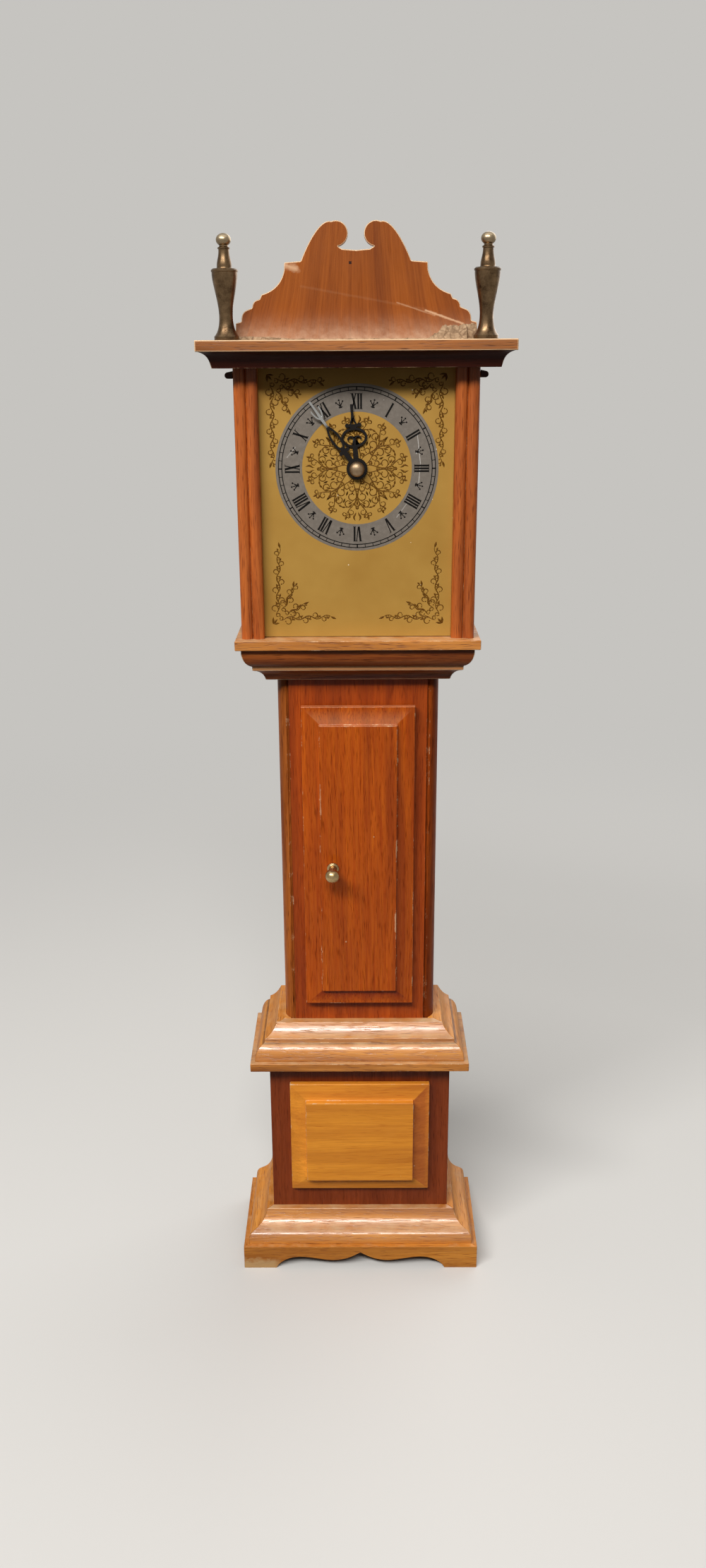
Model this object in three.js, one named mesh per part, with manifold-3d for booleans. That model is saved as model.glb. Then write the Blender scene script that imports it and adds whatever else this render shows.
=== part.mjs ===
// Miniature longcase clock: a mahogany case with a hinged trunk door, a brass dial and a battery movement.
// Millimetres, +Z up, the front faces -Y, the origin lies on the ground under the middle of the case.
import * as THREE from 'three';
import { mergeVertices } from 'three/addons/utils/BufferGeometryUtils.js';
import Module from 'manifold-3d';

const wasm = await Module();
wasm.setup();

// Plinth and base
const PLINTH_LEDGE = 2.15;
const PLINTH_HEIGHT = 10.9;
const PLINTH_RAIL = 16;
const FOOT_LENGTH = 14.1;
const APRON_ARCH_HEIGHT = 5.85;
const APRON_LOBE_HEIGHT = 4;
const APRON_PEAK_HEIGHT = 8.1;
const APRON_LOBE_SPACING = 24.6;
const APRON_ARCH_SHIFT = 2;
const APRON_EASE = 5;
const SIDE_ARCH_HEIGHT = 5;
const SIDE_ARCH_EASE = 4;
const BASE_WIDTH = 76.6;
const BASE_DEPTH = 36.7;
const BASE_HEIGHT = 84.8;
const BASE_WALL = 3.5;
const OGEE_HEIGHT = 12.8;
const OGEE_PROJECTION = 10.6;
const OGEE_LIP = 3;

// Fielded panel on the base
const PANEL_SIDE_GAP = 8.45;
const PANEL_TOP_GAP = 9;
const PANEL_BOTTOM_GAP = 10.2;
const PANEL_EDGE = 2.5;
const PANEL_BEVEL = 6.9;
const PANEL_RISE = 1.8;
const PANEL_SHOULDER = 2.3;

// Waist board and moulding
const WAIST_BOARD_LEDGE = 1.9;
const WAIST_BOARD_THICKNESS = 3.7;
const WAIST_OVOLO_PROJECTION = 12.5;
const WAIST_FILLET_PROJECTION = 8.5;
const WAIST_TOP_PROJECTION = 3.5;
const WAIST_OVOLO_HEIGHT = 6.9;
const WAIST_FILLET_HEIGHT = 1.8;
const WAIST_COVE_HEIGHT = 5.1;
const LEDGE_CORNER = 2.4;

// Trunk
const TRUNK_WIDTH = 63;
const TRUNK_DEPTH = 29.5;
const TRUNK_HEIGHT = 177.1;
const TRUNK_WALL = 3.5;
const CORNER_WIDTH = 4.4;
const CORNER_DEPTH = 8;
const CANT_DEPTH = 4.7;
const QUIRK = 0.9;

// Trunk door
const DOOR_SIDE_GAP = 4.8;
const DOOR_TOP_GAP = 11;
const DOOR_BOTTOM_GAP = 9.1;
const DOOR_EDGE = 2.7;
const DOOR_BEVEL = 7;
const DOOR_RISE = 1.2;
const DOOR_SHOULDER = 1.5;
const DOOR_OVERLAP = 7;
const DOOR_STANDOFF = 1;
const KNOB_FROM_LEFT = 11.9;
const KNOB_HEIGHT = 62.9;
const KNOB_BALL_DIAMETER = 5.4;
const KNOB_FLANGE_DIAMETER = 4.6;
const KNOB_FLANGE_THICKNESS = 0.7;
const KNOB_COVE_LENGTH = 0.9;
const KNOB_NECK_DIAMETER = 2.6;
const KNOB_REACH = 8.2;

// Butt hinges of the door
const HINGE_LENGTH = 12;
const HINGE_INSET = 10;
const HINGE_LEAF_WIDTH = 6;
const HINGE_LEAF_THICKNESS = 0.45;
const HINGE_KNUCKLE_DIAMETER = 1.7;
const HINGE_PIN_DIAMETER = 0.8;
const HINGE_PLAY = 0.06;
const HINGE_SIDE_GAP = 0.15;

// Neck moulding under the hood
const NECK_HEIGHT = 13.7;
const NECK_FOOT_PROJECTION = 3.95;
const NECK_FILLET_PROJECTION = 8.65;
const NECK_OVOLO_PROJECTION = 12.4;
const NECK_COVE_HEIGHT = 4.7;
const NECK_FILLET_HEIGHT = 1.5;
const NECK_OVOLO_HEIGHT = 5.5;

// Hood
const HOOD_FLOOR_LEDGE = 2.1;
const HOOD_FLOOR_THICKNESS = 3.7;
const HOOD_WIDTH = 87.1;
const HOOD_DEPTH = 40.8;
const HOOD_HEIGHT = 96.8;
const HOOD_WALL = 4;
const BACK_THICKNESS = 3;
const POST_WIDTH = 8.6;
const POST_DEPTH = 4.2;
const REED_BULGE = 1.5;
const BEAD_HEIGHT = 2.2;
const BEAD_PROJECTION = 2.9;
const BEAD_DROP = 1.4;
const CORNICE_HEIGHT = 5.5;
const CORNICE_PROJECTION = 10.7;
const CORNICE_FILLET_PROJECTION = 6.5;
const CORNICE_FILLET_HEIGHT = 1.9;
const CORNICE_FILLET_SLOPE = 0.5;
const TOP_BOARD_LIP = 0.8;
const TOP_BOARD_THICKNESS = 3.75;
const ACCESS_SIDE_ROOM = 3;
const ACCESS_END_ROOM = 5;

// Pediment and finials
const PEDIMENT_WIDTH = 84.2;
const PEDIMENT_THICKNESS = 4;
const PEDIMENT_SETBACK = 12.3;
const PEDIMENT_LEDGE_HEIGHT = 28.7;
const PEDIMENT_SHOULDER_HEIGHT = 24.9;
const PEDIMENT_SHOULDER_REACH = 24.5;
const HORN_RADIUS = 4.05;
const HORN_SPACING = 13.6;
const HORN_RISE = 34;
const HORN_NOTCH_ANGLE = -98;
const HORN_CREST_ANGLE = -292;
const PEDIMENT_SHOULDER_LENGTH = 5.6;
const PEDIMENT_DIP = 0.4;
const FINIAL_BASE_DIAMETER = 8.6;
const FINIAL_FOOT_HEIGHT = 7.7;
const FINIAL_WAIST_DIAMETER = 4.7;
const FINIAL_URN_DIAMETER = 8.6;
const FINIAL_URN_HEIGHT = 14.1;
const FINIAL_DISC_DIAMETER = 9.2;
const FINIAL_DISC_THICKNESS = 1.1;
const FINIAL_LIP_DIAMETER = 8.2;
const FINIAL_COLUMN_DIAMETER = 4.5;
const FINIAL_COLUMN_HEIGHT = 6.9;
const FINIAL_COLUMN_FLARE = 0.5;
const FINIAL_NECK_DIAMETER = 3.2;
const FINIAL_NECK_HEIGHT = 0.4;
const FINIAL_BALL_DIAMETER = 5.1;
const FINIAL_BALL_HEIGHT = 4.2;
const FINIAL_INSET = 10.45;
const FINIAL_SETBACK = 7.8;

// Dial and hands
const DIAL_CENTRE_HEIGHT = 61.9;
const DIAL_PLATE_THICKNESS = 0.5;
const DIAL_BOARD_THICKNESS = 3;
const DIAL_CLEARANCE = 0.2;
const HAND_THICKNESS = 0.4;
const HOUR_HAND_LENGTH = 22.5;
const HOUR_HAND_ANGLE = 4.9;
const MINUTE_HAND_LENGTH = 28.9;
const MINUTE_HAND_ANGLE = 35.7;
const HOUR_HUB_DIAMETER = 7.6;
const MINUTE_HUB_DIAMETER = 6.9;
const HAND_SPACING = 1.1;
const NUT_DIAMETER = 5.4;
const NUT_HEIGHT = 2.6;
const NUT_SKIRT = 0.9;
const NUT_SEAT_GAP = 0.1;
const THREAD_LENGTH = 1.2;
const HOUR_SCROLL_CENTRE = 11;
const HOUR_SCROLL_WIDTH = 9.4;
const HOUR_SCROLL_HEIGHT = 7;
const HOUR_CROSS_CENTRE = 15.3;
const HOUR_CROSS_WIDTH = 4.4;
const HOUR_SPEAR_FOOT = 3.2;
const HOUR_SPEAR_SHAFT = 0.95;
const HOUR_SPEAR_NECK = 19.4;
const HOUR_WINDOW_WIDTH = 1.5;
const HOUR_WINDOW_TOP = 17.9;
const MINUTE_LOOP_START = 8.4;
const MINUTE_LOOP_END = 19;
const MINUTE_LOOP_WIDTH = 3.8;
const MINUTE_BARB_START = 21.8;
const MINUTE_BARB_END = 25.6;
const STEM_WIDTH = 1.75;
const SCROLL_BAND = 0.85;
const LOBE_DIAMETER = 1.5;
const HUB_LAP = 0.3;

// Battery movement
const MOVEMENT_DEPTH = 16;
const MOVEMENT_WALL = 1.2;
const COVER_CLEARANCE = 0.2;
const ARBOR_BOSS_LENGTH = 2.5;
const ARBOR_BOSS_WALL = 1;
const BUSHING_DIAMETER = 6;
const HOUR_PIPE_DIAMETER = 4.8;
const ARBOR_DIAMETER = 3;
const SETTING_SHAFT_DIAMETER = 2.4;
const SETTING_PIVOT_DIAMETER = 1.4;
const SETTING_KNOB_DIAMETER = 9.5;
const SETTING_KNOB_HEIGHT = 3.2;
const SETTING_KNOB_FLOOR = 1;
const KNURL_COUNT = 24;
const KNURL_DEPTH = 0.3;
const SHAFT_PLAY = 0.05;
const AXIAL_PLAY = 0.2;
const BATTERY_DIAMETER = 14.2;
const BATTERY_LENGTH = 49.2;
const BATTERY_NUB_LENGTH = 1.3;
const BATTERY_NUB_DIAMETER = 5.2;
const BATTERY_CHAMFER = 0.5;
const BATTERY_PLAY = 0.4;
const CELL_SEAT_GAP = 0.1;
const CELL_END_ROOM = 1.55;
const CONTACT_THICKNESS = 0.4;
const CONTACT_WIDTH = 9;
const COIL_LENGTH = 19;
const COIL_DIAMETER = 6.4;
const COIL_FLANGE_DIAMETER = 7.6;
const COIL_FLANGE_THICKNESS = 1;
const COIL_SEAT_GAP = 0.1;

// Motion work: the minute pinion turns the setting wheel, and its pinion turns the hour wheel
const GEAR_MODULE = 0.4;
const MINUTE_PINION_TEETH = 10;
const SETTING_WHEEL_TEETH = 30;
const SETTING_PINION_TEETH = 8;
const HOUR_WHEEL_TEETH = 32;
const WHEEL_THICKNESS = 0.9;
const WHEEL_GAP = 0.7;
const PINION_OVERHANG = 0.3;
const PIVOT_LAP = 0.2;

// Joints of the case, overrun of cutting tools and steps of round forms
const MITRE_GAP = 0.05;
const OVERRUN = 1;
const CURVE_STEPS = 6;
const FRET_STEPS = 10;
const ROUND_STEPS = 20;
const FINE_STEPS = 24;
const ARC_STEPS = 8;
const PIN_STEPS = 12;

// Levels of the case, from the ground up
const topBoardWidth = HOOD_WIDTH + 2 * (CORNICE_PROJECTION + TOP_BOARD_LIP);
const topBoardDepth = HOOD_DEPTH + CORNICE_PROJECTION + TOP_BOARD_LIP;
const backY = topBoardDepth / 2;
const baseTopZ = PLINTH_HEIGHT + BASE_HEIGHT;
const trunkBottomZ = baseTopZ + WAIST_BOARD_THICKNESS;
const trunkTopZ = trunkBottomZ + TRUNK_HEIGHT;
const hoodFloorZ = trunkTopZ + HOOD_FLOOR_THICKNESS;
const corniceZ = hoodFloorZ + HOOD_HEIGHT;
const topBoardZ = corniceZ + CORNICE_HEIGHT;
const roofZ = topBoardZ + TOP_BOARD_THICKNESS;
const dialZ = hoodFloorZ + DIAL_CENTRE_HEIGHT;

// Front planes, measured from the common back
const plinthFrontY = backY - BASE_DEPTH - OGEE_PROJECTION - PLINTH_LEDGE;
const baseFrontY = backY - BASE_DEPTH;
const trunkFrontY = backY - TRUNK_DEPTH;
const hoodFrontY = backY - HOOD_DEPTH;
const dialFrontY = hoodFrontY + POST_DEPTH;
const dialBoardY = dialFrontY + DIAL_PLATE_THICKNESS;
const movementFrontY = dialBoardY + DIAL_BOARD_THICKNESS;
const movementBackY = movementFrontY + MOVEMENT_DEPTH;
const backInnerY = backY - BACK_THICKNESS;

// Gear centres
const gearDistance = GEAR_MODULE * (MINUTE_PINION_TEETH + SETTING_WHEEL_TEETH) / 2;
const settingZ = dialZ + gearDistance;

/** Joins equal corners, drops flat triangles and turns the faces outwards. */
function closed(geometry) {
  const bare = geometry.index ? geometry.clone() : mergeVertices(geometry.clone());
  for (const name of Object.keys(bare.attributes)) {
    if (name !== 'position') bare.deleteAttribute(name);
  }
  const merged = mergeVertices(bare, 1e-4);
  const kept = [];
  const corner = [new THREE.Vector3(), new THREE.Vector3(), new THREE.Vector3()];
  let volume = 0;
  for (let i = 0; i < merged.index.count; i += 3) {
    const ids = [0, 1, 2].map((k) => merged.index.getX(i + k));
    if (ids[0] === ids[1] || ids[1] === ids[2] || ids[0] === ids[2]) continue;
    kept.push(ids);
    ids.forEach((id, k) => corner[k].fromBufferAttribute(merged.attributes.position, id));
    volume += corner[0].dot(corner[1].cross(corner[2])) / 6;
  }
  if (volume < 0) kept.forEach((ids) => ids.reverse());
  const solid = new THREE.BufferGeometry();
  solid.setAttribute('position', merged.attributes.position);
  solid.setIndex(kept.flat());
  return solid;
}

/** A closed geometry as a solid that can be joined and cut. */
function solidOf(geometry) {
  const mesh = closed(geometry);
  const vertProperties = Float32Array.from(mesh.attributes.position.array);
  const triVerts = Uint32Array.from(mesh.index.array);
  return new wasm.Manifold(new wasm.Mesh({ numProp: 3, vertProperties, triVerts }));
}

/** A joined or cut solid as a geometry again. */
function geometryOf(solid) {
  const mesh = solid.getMesh();
  const geometry = new THREE.BufferGeometry();
  geometry.setAttribute('position', new THREE.BufferAttribute(Float32Array.from(mesh.vertProperties), 3));
  geometry.setIndex(Array.from(mesh.triVerts));
  return geometry;
}

/** One geometry from several that meet. */
function joined(first, ...others) {
  return geometryOf(others.reduce((sum, other) => sum.add(solidOf(other)), solidOf(first)));
}

/** A geometry with others cut out of it. */
function cut(body, ...tools) {
  return geometryOf(tools.reduce((rest, tool) => rest.subtract(solidOf(tool)), solidOf(body)));
}

/** A rectangular board between two corners. */
function board(x0, x1, y0, y1, z0, z1) {
  const box = new THREE.BoxGeometry(x1 - x0, y1 - y0, z1 - z0);
  return box.translate((x0 + x1) / 2, (y0 + y1) / 2, (z0 + z1) / 2);
}

/** A shape drawn in X and Z, given a thickness from frontY backwards. */
function upright(shape, frontY, thickness) {
  const flat = new THREE.ExtrudeGeometry(shape, {
    depth: thickness, bevelEnabled: false, curveSegments: CURVE_STEPS,
  });
  return flat.rotateX(Math.PI / 2).translate(0, frontY + thickness, 0);
}

/** A shape drawn in X and Y, raised from z0 to z1. */
function column(shape, z0, z1) {
  const flat = new THREE.ExtrudeGeometry(shape, {
    depth: z1 - z0, bevelEnabled: false, curveSegments: CURVE_STEPS,
  });
  return flat.translate(0, 0, z0);
}

/** A turned piece about an axis along Y, from frontY backwards; the profile holds (radius, depth) pairs. */
function turnedAlongY(profile, x, frontY, z, steps = ROUND_STEPS) {
  const points = profile.map(([radius, depth]) => new THREE.Vector2(radius, depth));
  return new THREE.LatheGeometry(points, steps).translate(x, frontY, z);
}

/** A round bar along Y. */
function barAlongY(diameter, y0, y1, x, z, steps = ROUND_STEPS) {
  return turnedAlongY([[0, 0], [diameter / 2, 0], [diameter / 2, y1 - y0], [0, y1 - y0]], x, y0, z, steps);
}

/** A shape's outline through points, mirrored to the other side of X = 0. */
function mirroredShape(half) {
  const left = half.map((p) => new THREE.Vector2(-p.x, p.y)).reverse();
  return new THREE.Shape([...half, ...left].filter((p, i, all) => {
    const next = all[(i + 1) % all.length];
    return p.distanceTo(next) > 1e-6;
  }));
}

/** The front run of a mitred moulding; the profile is drawn as (projection, height). */
function mouldingFront(profile, halfWidth, frontY) {
  return bentMoulding(profile, (projection, along) => [
    (2 * along - 1) * (halfWidth + projection - MITRE_GAP),
    frontY - projection,
  ]);
}

/** A side run of a mitred moulding; side is -1 or 1. */
function mouldingSide(profile, side, halfWidth, frontY) {
  return bentMoulding(profile, (projection, along) => {
    const mitreY = frontY - projection + MITRE_GAP;
    return [side * (halfWidth + projection), mitreY + along * (backY - mitreY)];
  });
}

/** A profile carried along a straight run whose ends are cut to the given plan. */
function bentMoulding(profile, plan) {
  const run = new THREE.ExtrudeGeometry(profile, {
    depth: 1, bevelEnabled: false, curveSegments: CURVE_STEPS,
  });
  const place = run.attributes.position;
  for (let i = 0; i < place.count; i += 1) {
    const [x, y] = plan(place.getX(i), place.getZ(i));
    place.setXYZ(i, x, y, place.getY(i));
  }
  return run;
}

/** A panel with a sloping margin and a raised field, its back on backFace, facing -Y. */
function fieldedPanel({ x0, x1, z0, z1, backFace, edge, bevel, rise, shoulder }) {
  const ring = (inset, height) => [
    [x0 + inset, z0 + inset], [x1 - inset, z0 + inset], [x1 - inset, z1 - inset], [x0 + inset, z1 - inset],
  ].map(([x, z]) => [x, backFace - height, z]);
  const rings = [
    ring(0, 0), ring(0, edge), ring(bevel, edge + rise), ring(bevel, edge + rise + shoulder),
  ];
  const faces = [[0, 1, 2], [0, 2, 3]];
  for (let level = 0; level < rings.length - 1; level += 1) {
    for (let k = 0; k < 4; k += 1) {
      const a = level * 4 + k;
      const b = level * 4 + ((k + 1) % 4);
      faces.push([a, a + 4, b], [b, a + 4, b + 4]);
    }
  }
  const top = (rings.length - 1) * 4;
  faces.push([top, top + 2, top + 1], [top, top + 3, top + 2]);
  const geometry = new THREE.BufferGeometry();
  geometry.setAttribute('position', new THREE.Float32BufferAttribute(rings.flat(2), 3));
  geometry.setIndex(faces.flat());
  return geometry;
}

/** A flat strip of constant width that follows a row of points. */
function ribbon(points, width) {
  const sides = [[], []];
  points.forEach((point, i) => {
    const before = points[Math.max(i - 1, 0)];
    const after = points[Math.min(i + 1, points.length - 1)];
    const along = new THREE.Vector2().subVectors(after, before).normalize();
    const across = new THREE.Vector2(-along.y, along.x).multiplyScalar(width / 2);
    sides[0].push(point.clone().add(across));
    sides[1].push(point.clone().sub(across));
  });
  return new THREE.Shape([...sides[0], ...sides[1].reverse()]);
}

/** Points along an arc of an ellipse, angles in degrees. */
function arcPoints(cx, cy, rx, ry, from, to, steps = 10) {
  return Array.from({ length: steps + 1 }, (_, i) => {
    const angle = THREE.MathUtils.degToRad(from + (to - from) * i / steps);
    return new THREE.Vector2(cx + rx * Math.cos(angle), cy + ry * Math.sin(angle));
  });
}

/** A round washer shape. */
function ringShape(outer, inner) {
  const shape = new THREE.Shape(arcPoints(0, 0, outer, outer, 0, 360, FINE_STEPS).slice(0, -1));
  shape.holes.push(new THREE.Path(arcPoints(0, 0, inner, inner, 0, 360, FINE_STEPS).slice(0, -1)));
  return shape;
}

/** A spur gear's outline: straight root flanks and eased tips, thin enough to run free. */
function gearShape(teeth, phase) {
  const pitch = GEAR_MODULE * teeth / 2;
  const root = pitch - 1.2 * GEAR_MODULE;
  const tip = pitch + 0.8 * GEAR_MODULE;
  const step = 2 * Math.PI / teeth;
  const outline = [];
  for (let k = 0; k < teeth; k += 1) {
    const middle = phase + k * step;
    const flank = [[root, -0.22], [pitch, -0.2], [tip, -0.08], [tip, 0.08], [pitch, 0.2], [root, 0.22]];
    for (const [radius, share] of flank) {
      const angle = middle + share * step;
      outline.push(new THREE.Vector2(radius * Math.cos(angle), radius * Math.sin(angle)));
    }
  }
  return new THREE.Shape(outline);
}

/** A gear about an axis along Y, from frontY backwards. */
function gear(teeth, phase, z, frontY, thickness) {
  return upright(gearShape(teeth, phase), frontY, thickness).translate(0, 0, z);
}

const clock = new THREE.Group();
const finishes = {
  mahogany: { color: 0x8c4322, roughness: 0.45, metalness: 0 },
  darkMahogany: { color: 0x6e2f1c, roughness: 0.45, metalness: 0 },
  doorWood: { color: 0xa5521f, roughness: 0.4, metalness: 0 },
  paleWood: { color: 0xb98548, roughness: 0.5, metalness: 0 },
  backboard: { color: 0x9c7a52, roughness: 0.8, metalness: 0 },
  brass: { color: 0xa08a55, roughness: 0.35, metalness: 1 },
  dialBrass: { color: 0xc9a458, roughness: 0.35, metalness: 1 },
  blackSteel: { color: 0x17130f, roughness: 0.4, metalness: 0.6 },
  plastic: { color: 0x1c1d20, roughness: 0.6, metalness: 0 },
  palePlastic: { color: 0xd8d3c4, roughness: 0.5, metalness: 0 },
  copper: { color: 0x9a5a30, roughness: 0.4, metalness: 0.8 },
  cell: { color: 0x33383d, roughness: 0.4, metalness: 0.3 },
};

/** Adds one named piece to the clock. */
function add(name, geometry, finish) {
  const solid = closed(geometry);
  solid.computeVertexNormals();
  const piece = new THREE.Mesh(solid, new THREE.MeshStandardMaterial(finishes[finish]));
  piece.name = name;
  clock.add(piece);
}

const sides = [['left', -1], ['right', 1]];

// Plinth: three mitred rails with feet and a scrolled apron
const plinthHalf = BASE_WIDTH / 2 + OGEE_PROJECTION + PLINTH_LEDGE;
const railShape = new THREE.Shape([
  new THREE.Vector2(-PLINTH_RAIL, 0), new THREE.Vector2(0, 0),
  new THREE.Vector2(0, PLINTH_HEIGHT), new THREE.Vector2(-PLINTH_RAIL, PLINTH_HEIGHT),
]);

/** The space under the front rail, between the feet. */
function apronSpace() {
  const footX = plinthHalf - FOOT_LENGTH;
  const lobeX = APRON_LOBE_SPACING / 2;
  const archX = (footX + lobeX) / 2 + APRON_ARCH_SHIFT;
  const ease = APRON_EASE;
  const peakEase = APRON_LOBE_HEIGHT + 0.35 * (APRON_PEAK_HEIGHT - APRON_LOBE_HEIGHT);
  const half = new THREE.Path();
  half.moveTo(footX, -OVERRUN);
  half.lineTo(footX, 0);
  half.bezierCurveTo(footX - 0.2 * ease, 0.5 * APRON_ARCH_HEIGHT, archX + ease, APRON_ARCH_HEIGHT,
    archX, APRON_ARCH_HEIGHT);
  half.bezierCurveTo(archX - ease, APRON_ARCH_HEIGHT, lobeX + 0.8 * ease, APRON_LOBE_HEIGHT,
    lobeX, APRON_LOBE_HEIGHT);
  half.bezierCurveTo(lobeX - ease, APRON_LOBE_HEIGHT, 0.8 * ease, peakEase, 0, APRON_PEAK_HEIGHT);
  const space = mirroredShape(half.getPoints(CURVE_STEPS));
  return upright(space, plinthFrontY - OVERRUN, PLINTH_RAIL + 2 * OVERRUN);
}

/** The arched space under a side rail. */
function sideArchSpace(side) {
  const shape = new THREE.Shape();
  const frontEnd = plinthFrontY + FOOT_LENGTH;
  const backEnd = backY - FOOT_LENGTH;
  const ease = SIDE_ARCH_EASE;
  shape.moveTo(frontEnd, -OVERRUN);
  shape.lineTo(frontEnd, 0);
  shape.bezierCurveTo(frontEnd + 0.5 * ease, SIDE_ARCH_HEIGHT, frontEnd + ease, SIDE_ARCH_HEIGHT,
    (frontEnd + backEnd) / 2, SIDE_ARCH_HEIGHT);
  shape.bezierCurveTo(backEnd - ease, SIDE_ARCH_HEIGHT, backEnd - 0.5 * ease, SIDE_ARCH_HEIGHT, backEnd, 0);
  shape.lineTo(backEnd, -OVERRUN);
  const length = PLINTH_RAIL + 2 * OVERRUN;
  const arch = new THREE.ExtrudeGeometry(shape, {
    depth: length, bevelEnabled: false, curveSegments: CURVE_STEPS,
  });
  arch.rotateX(Math.PI / 2).rotateZ(Math.PI / 2);
  return arch.translate(side > 0 ? plinthHalf + OVERRUN - length : -plinthHalf - OVERRUN, 0, 0);
}

add('plinth_front', cut(mouldingFront(railShape, plinthHalf, plinthFrontY), apronSpace()), 'paleWood');
for (const [label, side] of sides) {
  const rail = mouldingSide(railShape, side, plinthHalf, plinthFrontY);
  add(`plinth_${label}`, cut(rail, sideArchSpace(side)), 'paleWood');
}

// Base box with its ogee moulding and fielded panel
const baseHalf = BASE_WIDTH / 2;
const ogee = new THREE.Shape();
ogee.moveTo(0, PLINTH_HEIGHT);
ogee.lineTo(OGEE_PROJECTION, PLINTH_HEIGHT);
ogee.lineTo(OGEE_PROJECTION, PLINTH_HEIGHT + 0.14 * OGEE_HEIGHT);
ogee.bezierCurveTo(OGEE_PROJECTION, PLINTH_HEIGHT + 0.34 * OGEE_HEIGHT,
  0.92 * OGEE_PROJECTION, PLINTH_HEIGHT + 0.4 * OGEE_HEIGHT,
  0.77 * OGEE_PROJECTION, PLINTH_HEIGHT + 0.45 * OGEE_HEIGHT);
ogee.bezierCurveTo(0.5 * OGEE_PROJECTION, PLINTH_HEIGHT + 0.53 * OGEE_HEIGHT,
  1.2 * OGEE_LIP, PLINTH_HEIGHT + 0.68 * OGEE_HEIGHT,
  OGEE_LIP, PLINTH_HEIGHT + 0.93 * OGEE_HEIGHT);
ogee.lineTo(OGEE_LIP, PLINTH_HEIGHT + OGEE_HEIGHT);
ogee.lineTo(0, PLINTH_HEIGHT + OGEE_HEIGHT);

add('base_front', board(-baseHalf, baseHalf, baseFrontY, baseFrontY + BASE_WALL, PLINTH_HEIGHT, baseTopZ),
  'darkMahogany');
add('base_back', board(-baseHalf, baseHalf, backInnerY, backY, PLINTH_HEIGHT, baseTopZ), 'backboard');
add('base_ogee_front', mouldingFront(ogee, baseHalf, baseFrontY), 'paleWood');
for (const [label, side] of sides) {
  const inner = side * (baseHalf - BASE_WALL);
  const outer = side * baseHalf;
  add(`base_side_${label}`, board(Math.min(inner, outer), Math.max(inner, outer),
    baseFrontY + BASE_WALL, backInnerY, PLINTH_HEIGHT, baseTopZ), 'darkMahogany');
  add(`base_ogee_${label}`, mouldingSide(ogee, side, baseHalf, baseFrontY), 'paleWood');
}
add('base_panel', fieldedPanel({
  x0: -baseHalf + PANEL_SIDE_GAP,
  x1: baseHalf - PANEL_SIDE_GAP,
  z0: PLINTH_HEIGHT + OGEE_HEIGHT + PANEL_BOTTOM_GAP,
  z1: baseTopZ - PANEL_TOP_GAP,
  backFace: baseFrontY,
  edge: PANEL_EDGE,
  bevel: PANEL_BEVEL,
  rise: PANEL_RISE,
  shoulder: PANEL_SHOULDER,
}), 'paleWood');

// Waist board that closes the base, and the moulding round the foot of the trunk
const trunkHalf = TRUNK_WIDTH / 2;
const waist = new THREE.Shape();
const waistFilletZ = trunkBottomZ + WAIST_OVOLO_HEIGHT;
const waistCoveZ = waistFilletZ + WAIST_FILLET_HEIGHT;
const waistTopZ = waistCoveZ + WAIST_COVE_HEIGHT;
waist.moveTo(0, trunkBottomZ);
waist.lineTo(WAIST_OVOLO_PROJECTION, trunkBottomZ);
waist.absellipse(WAIST_FILLET_PROJECTION, trunkBottomZ,
  WAIST_OVOLO_PROJECTION - WAIST_FILLET_PROJECTION, WAIST_OVOLO_HEIGHT, 0, Math.PI / 2, false, 0);
waist.lineTo(WAIST_FILLET_PROJECTION, waistCoveZ);
waist.quadraticCurveTo(WAIST_TOP_PROJECTION + 0.4 * (WAIST_FILLET_PROJECTION - WAIST_TOP_PROJECTION),
  waistCoveZ + 0.18 * WAIST_COVE_HEIGHT, WAIST_TOP_PROJECTION, waistTopZ);
waist.lineTo(0, waistTopZ);

const waistReach = WAIST_OVOLO_PROJECTION + WAIST_BOARD_LEDGE;
add('waist_board', board(-trunkHalf - waistReach, trunkHalf + waistReach, trunkFrontY - waistReach, backY,
  baseTopZ, trunkBottomZ), 'paleWood');
add('waist_moulding_front', mouldingFront(waist, trunkHalf, trunkFrontY), 'paleWood');

// Trunk: a front board with the door opening, canted corner strips, sides and back
const frontHalf = trunkHalf - CORNER_WIDTH;
const neckZ = trunkTopZ - NECK_HEIGHT;
const doorLeft = -frontHalf + DOOR_SIDE_GAP;
const doorRight = frontHalf - DOOR_SIDE_GAP;
const doorBottomZ = waistTopZ + DOOR_BOTTOM_GAP;
const doorTopZ = neckZ - DOOR_TOP_GAP;
const opening = board(doorLeft + DOOR_OVERLAP, doorRight - DOOR_OVERLAP,
  trunkFrontY - OVERRUN, trunkFrontY + TRUNK_WALL + OVERRUN,
  doorBottomZ + DOOR_OVERLAP, doorTopZ - DOOR_OVERLAP);
const trunkFrontBoard = board(-frontHalf, frontHalf, trunkFrontY, trunkFrontY + TRUNK_WALL,
  trunkBottomZ, trunkTopZ);
add('trunk_front', cut(trunkFrontBoard, opening), 'mahogany');
add('trunk_back', board(-trunkHalf, trunkHalf, backInnerY, backY, trunkBottomZ, trunkTopZ), 'backboard');

/** The plan of a corner strip: a quirk beside the front board, then a rounded cant to the side. */
function cornerPlan(side) {
  const plan = new THREE.Shape();
  plan.moveTo(side * frontHalf, trunkFrontY);
  plan.lineTo(side * (frontHalf + 0.5 * QUIRK), trunkFrontY + QUIRK);
  plan.lineTo(side * (frontHalf + 1.2 * QUIRK), trunkFrontY + 0.4 * QUIRK);
  plan.quadraticCurveTo(side * (trunkHalf - 0.2 * CORNER_WIDTH), trunkFrontY + 0.25 * CANT_DEPTH,
    side * trunkHalf, trunkFrontY + CANT_DEPTH);
  plan.lineTo(side * trunkHalf, trunkFrontY + CORNER_DEPTH);
  plan.lineTo(side * frontHalf, trunkFrontY + CORNER_DEPTH);
  return plan;
}

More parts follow.
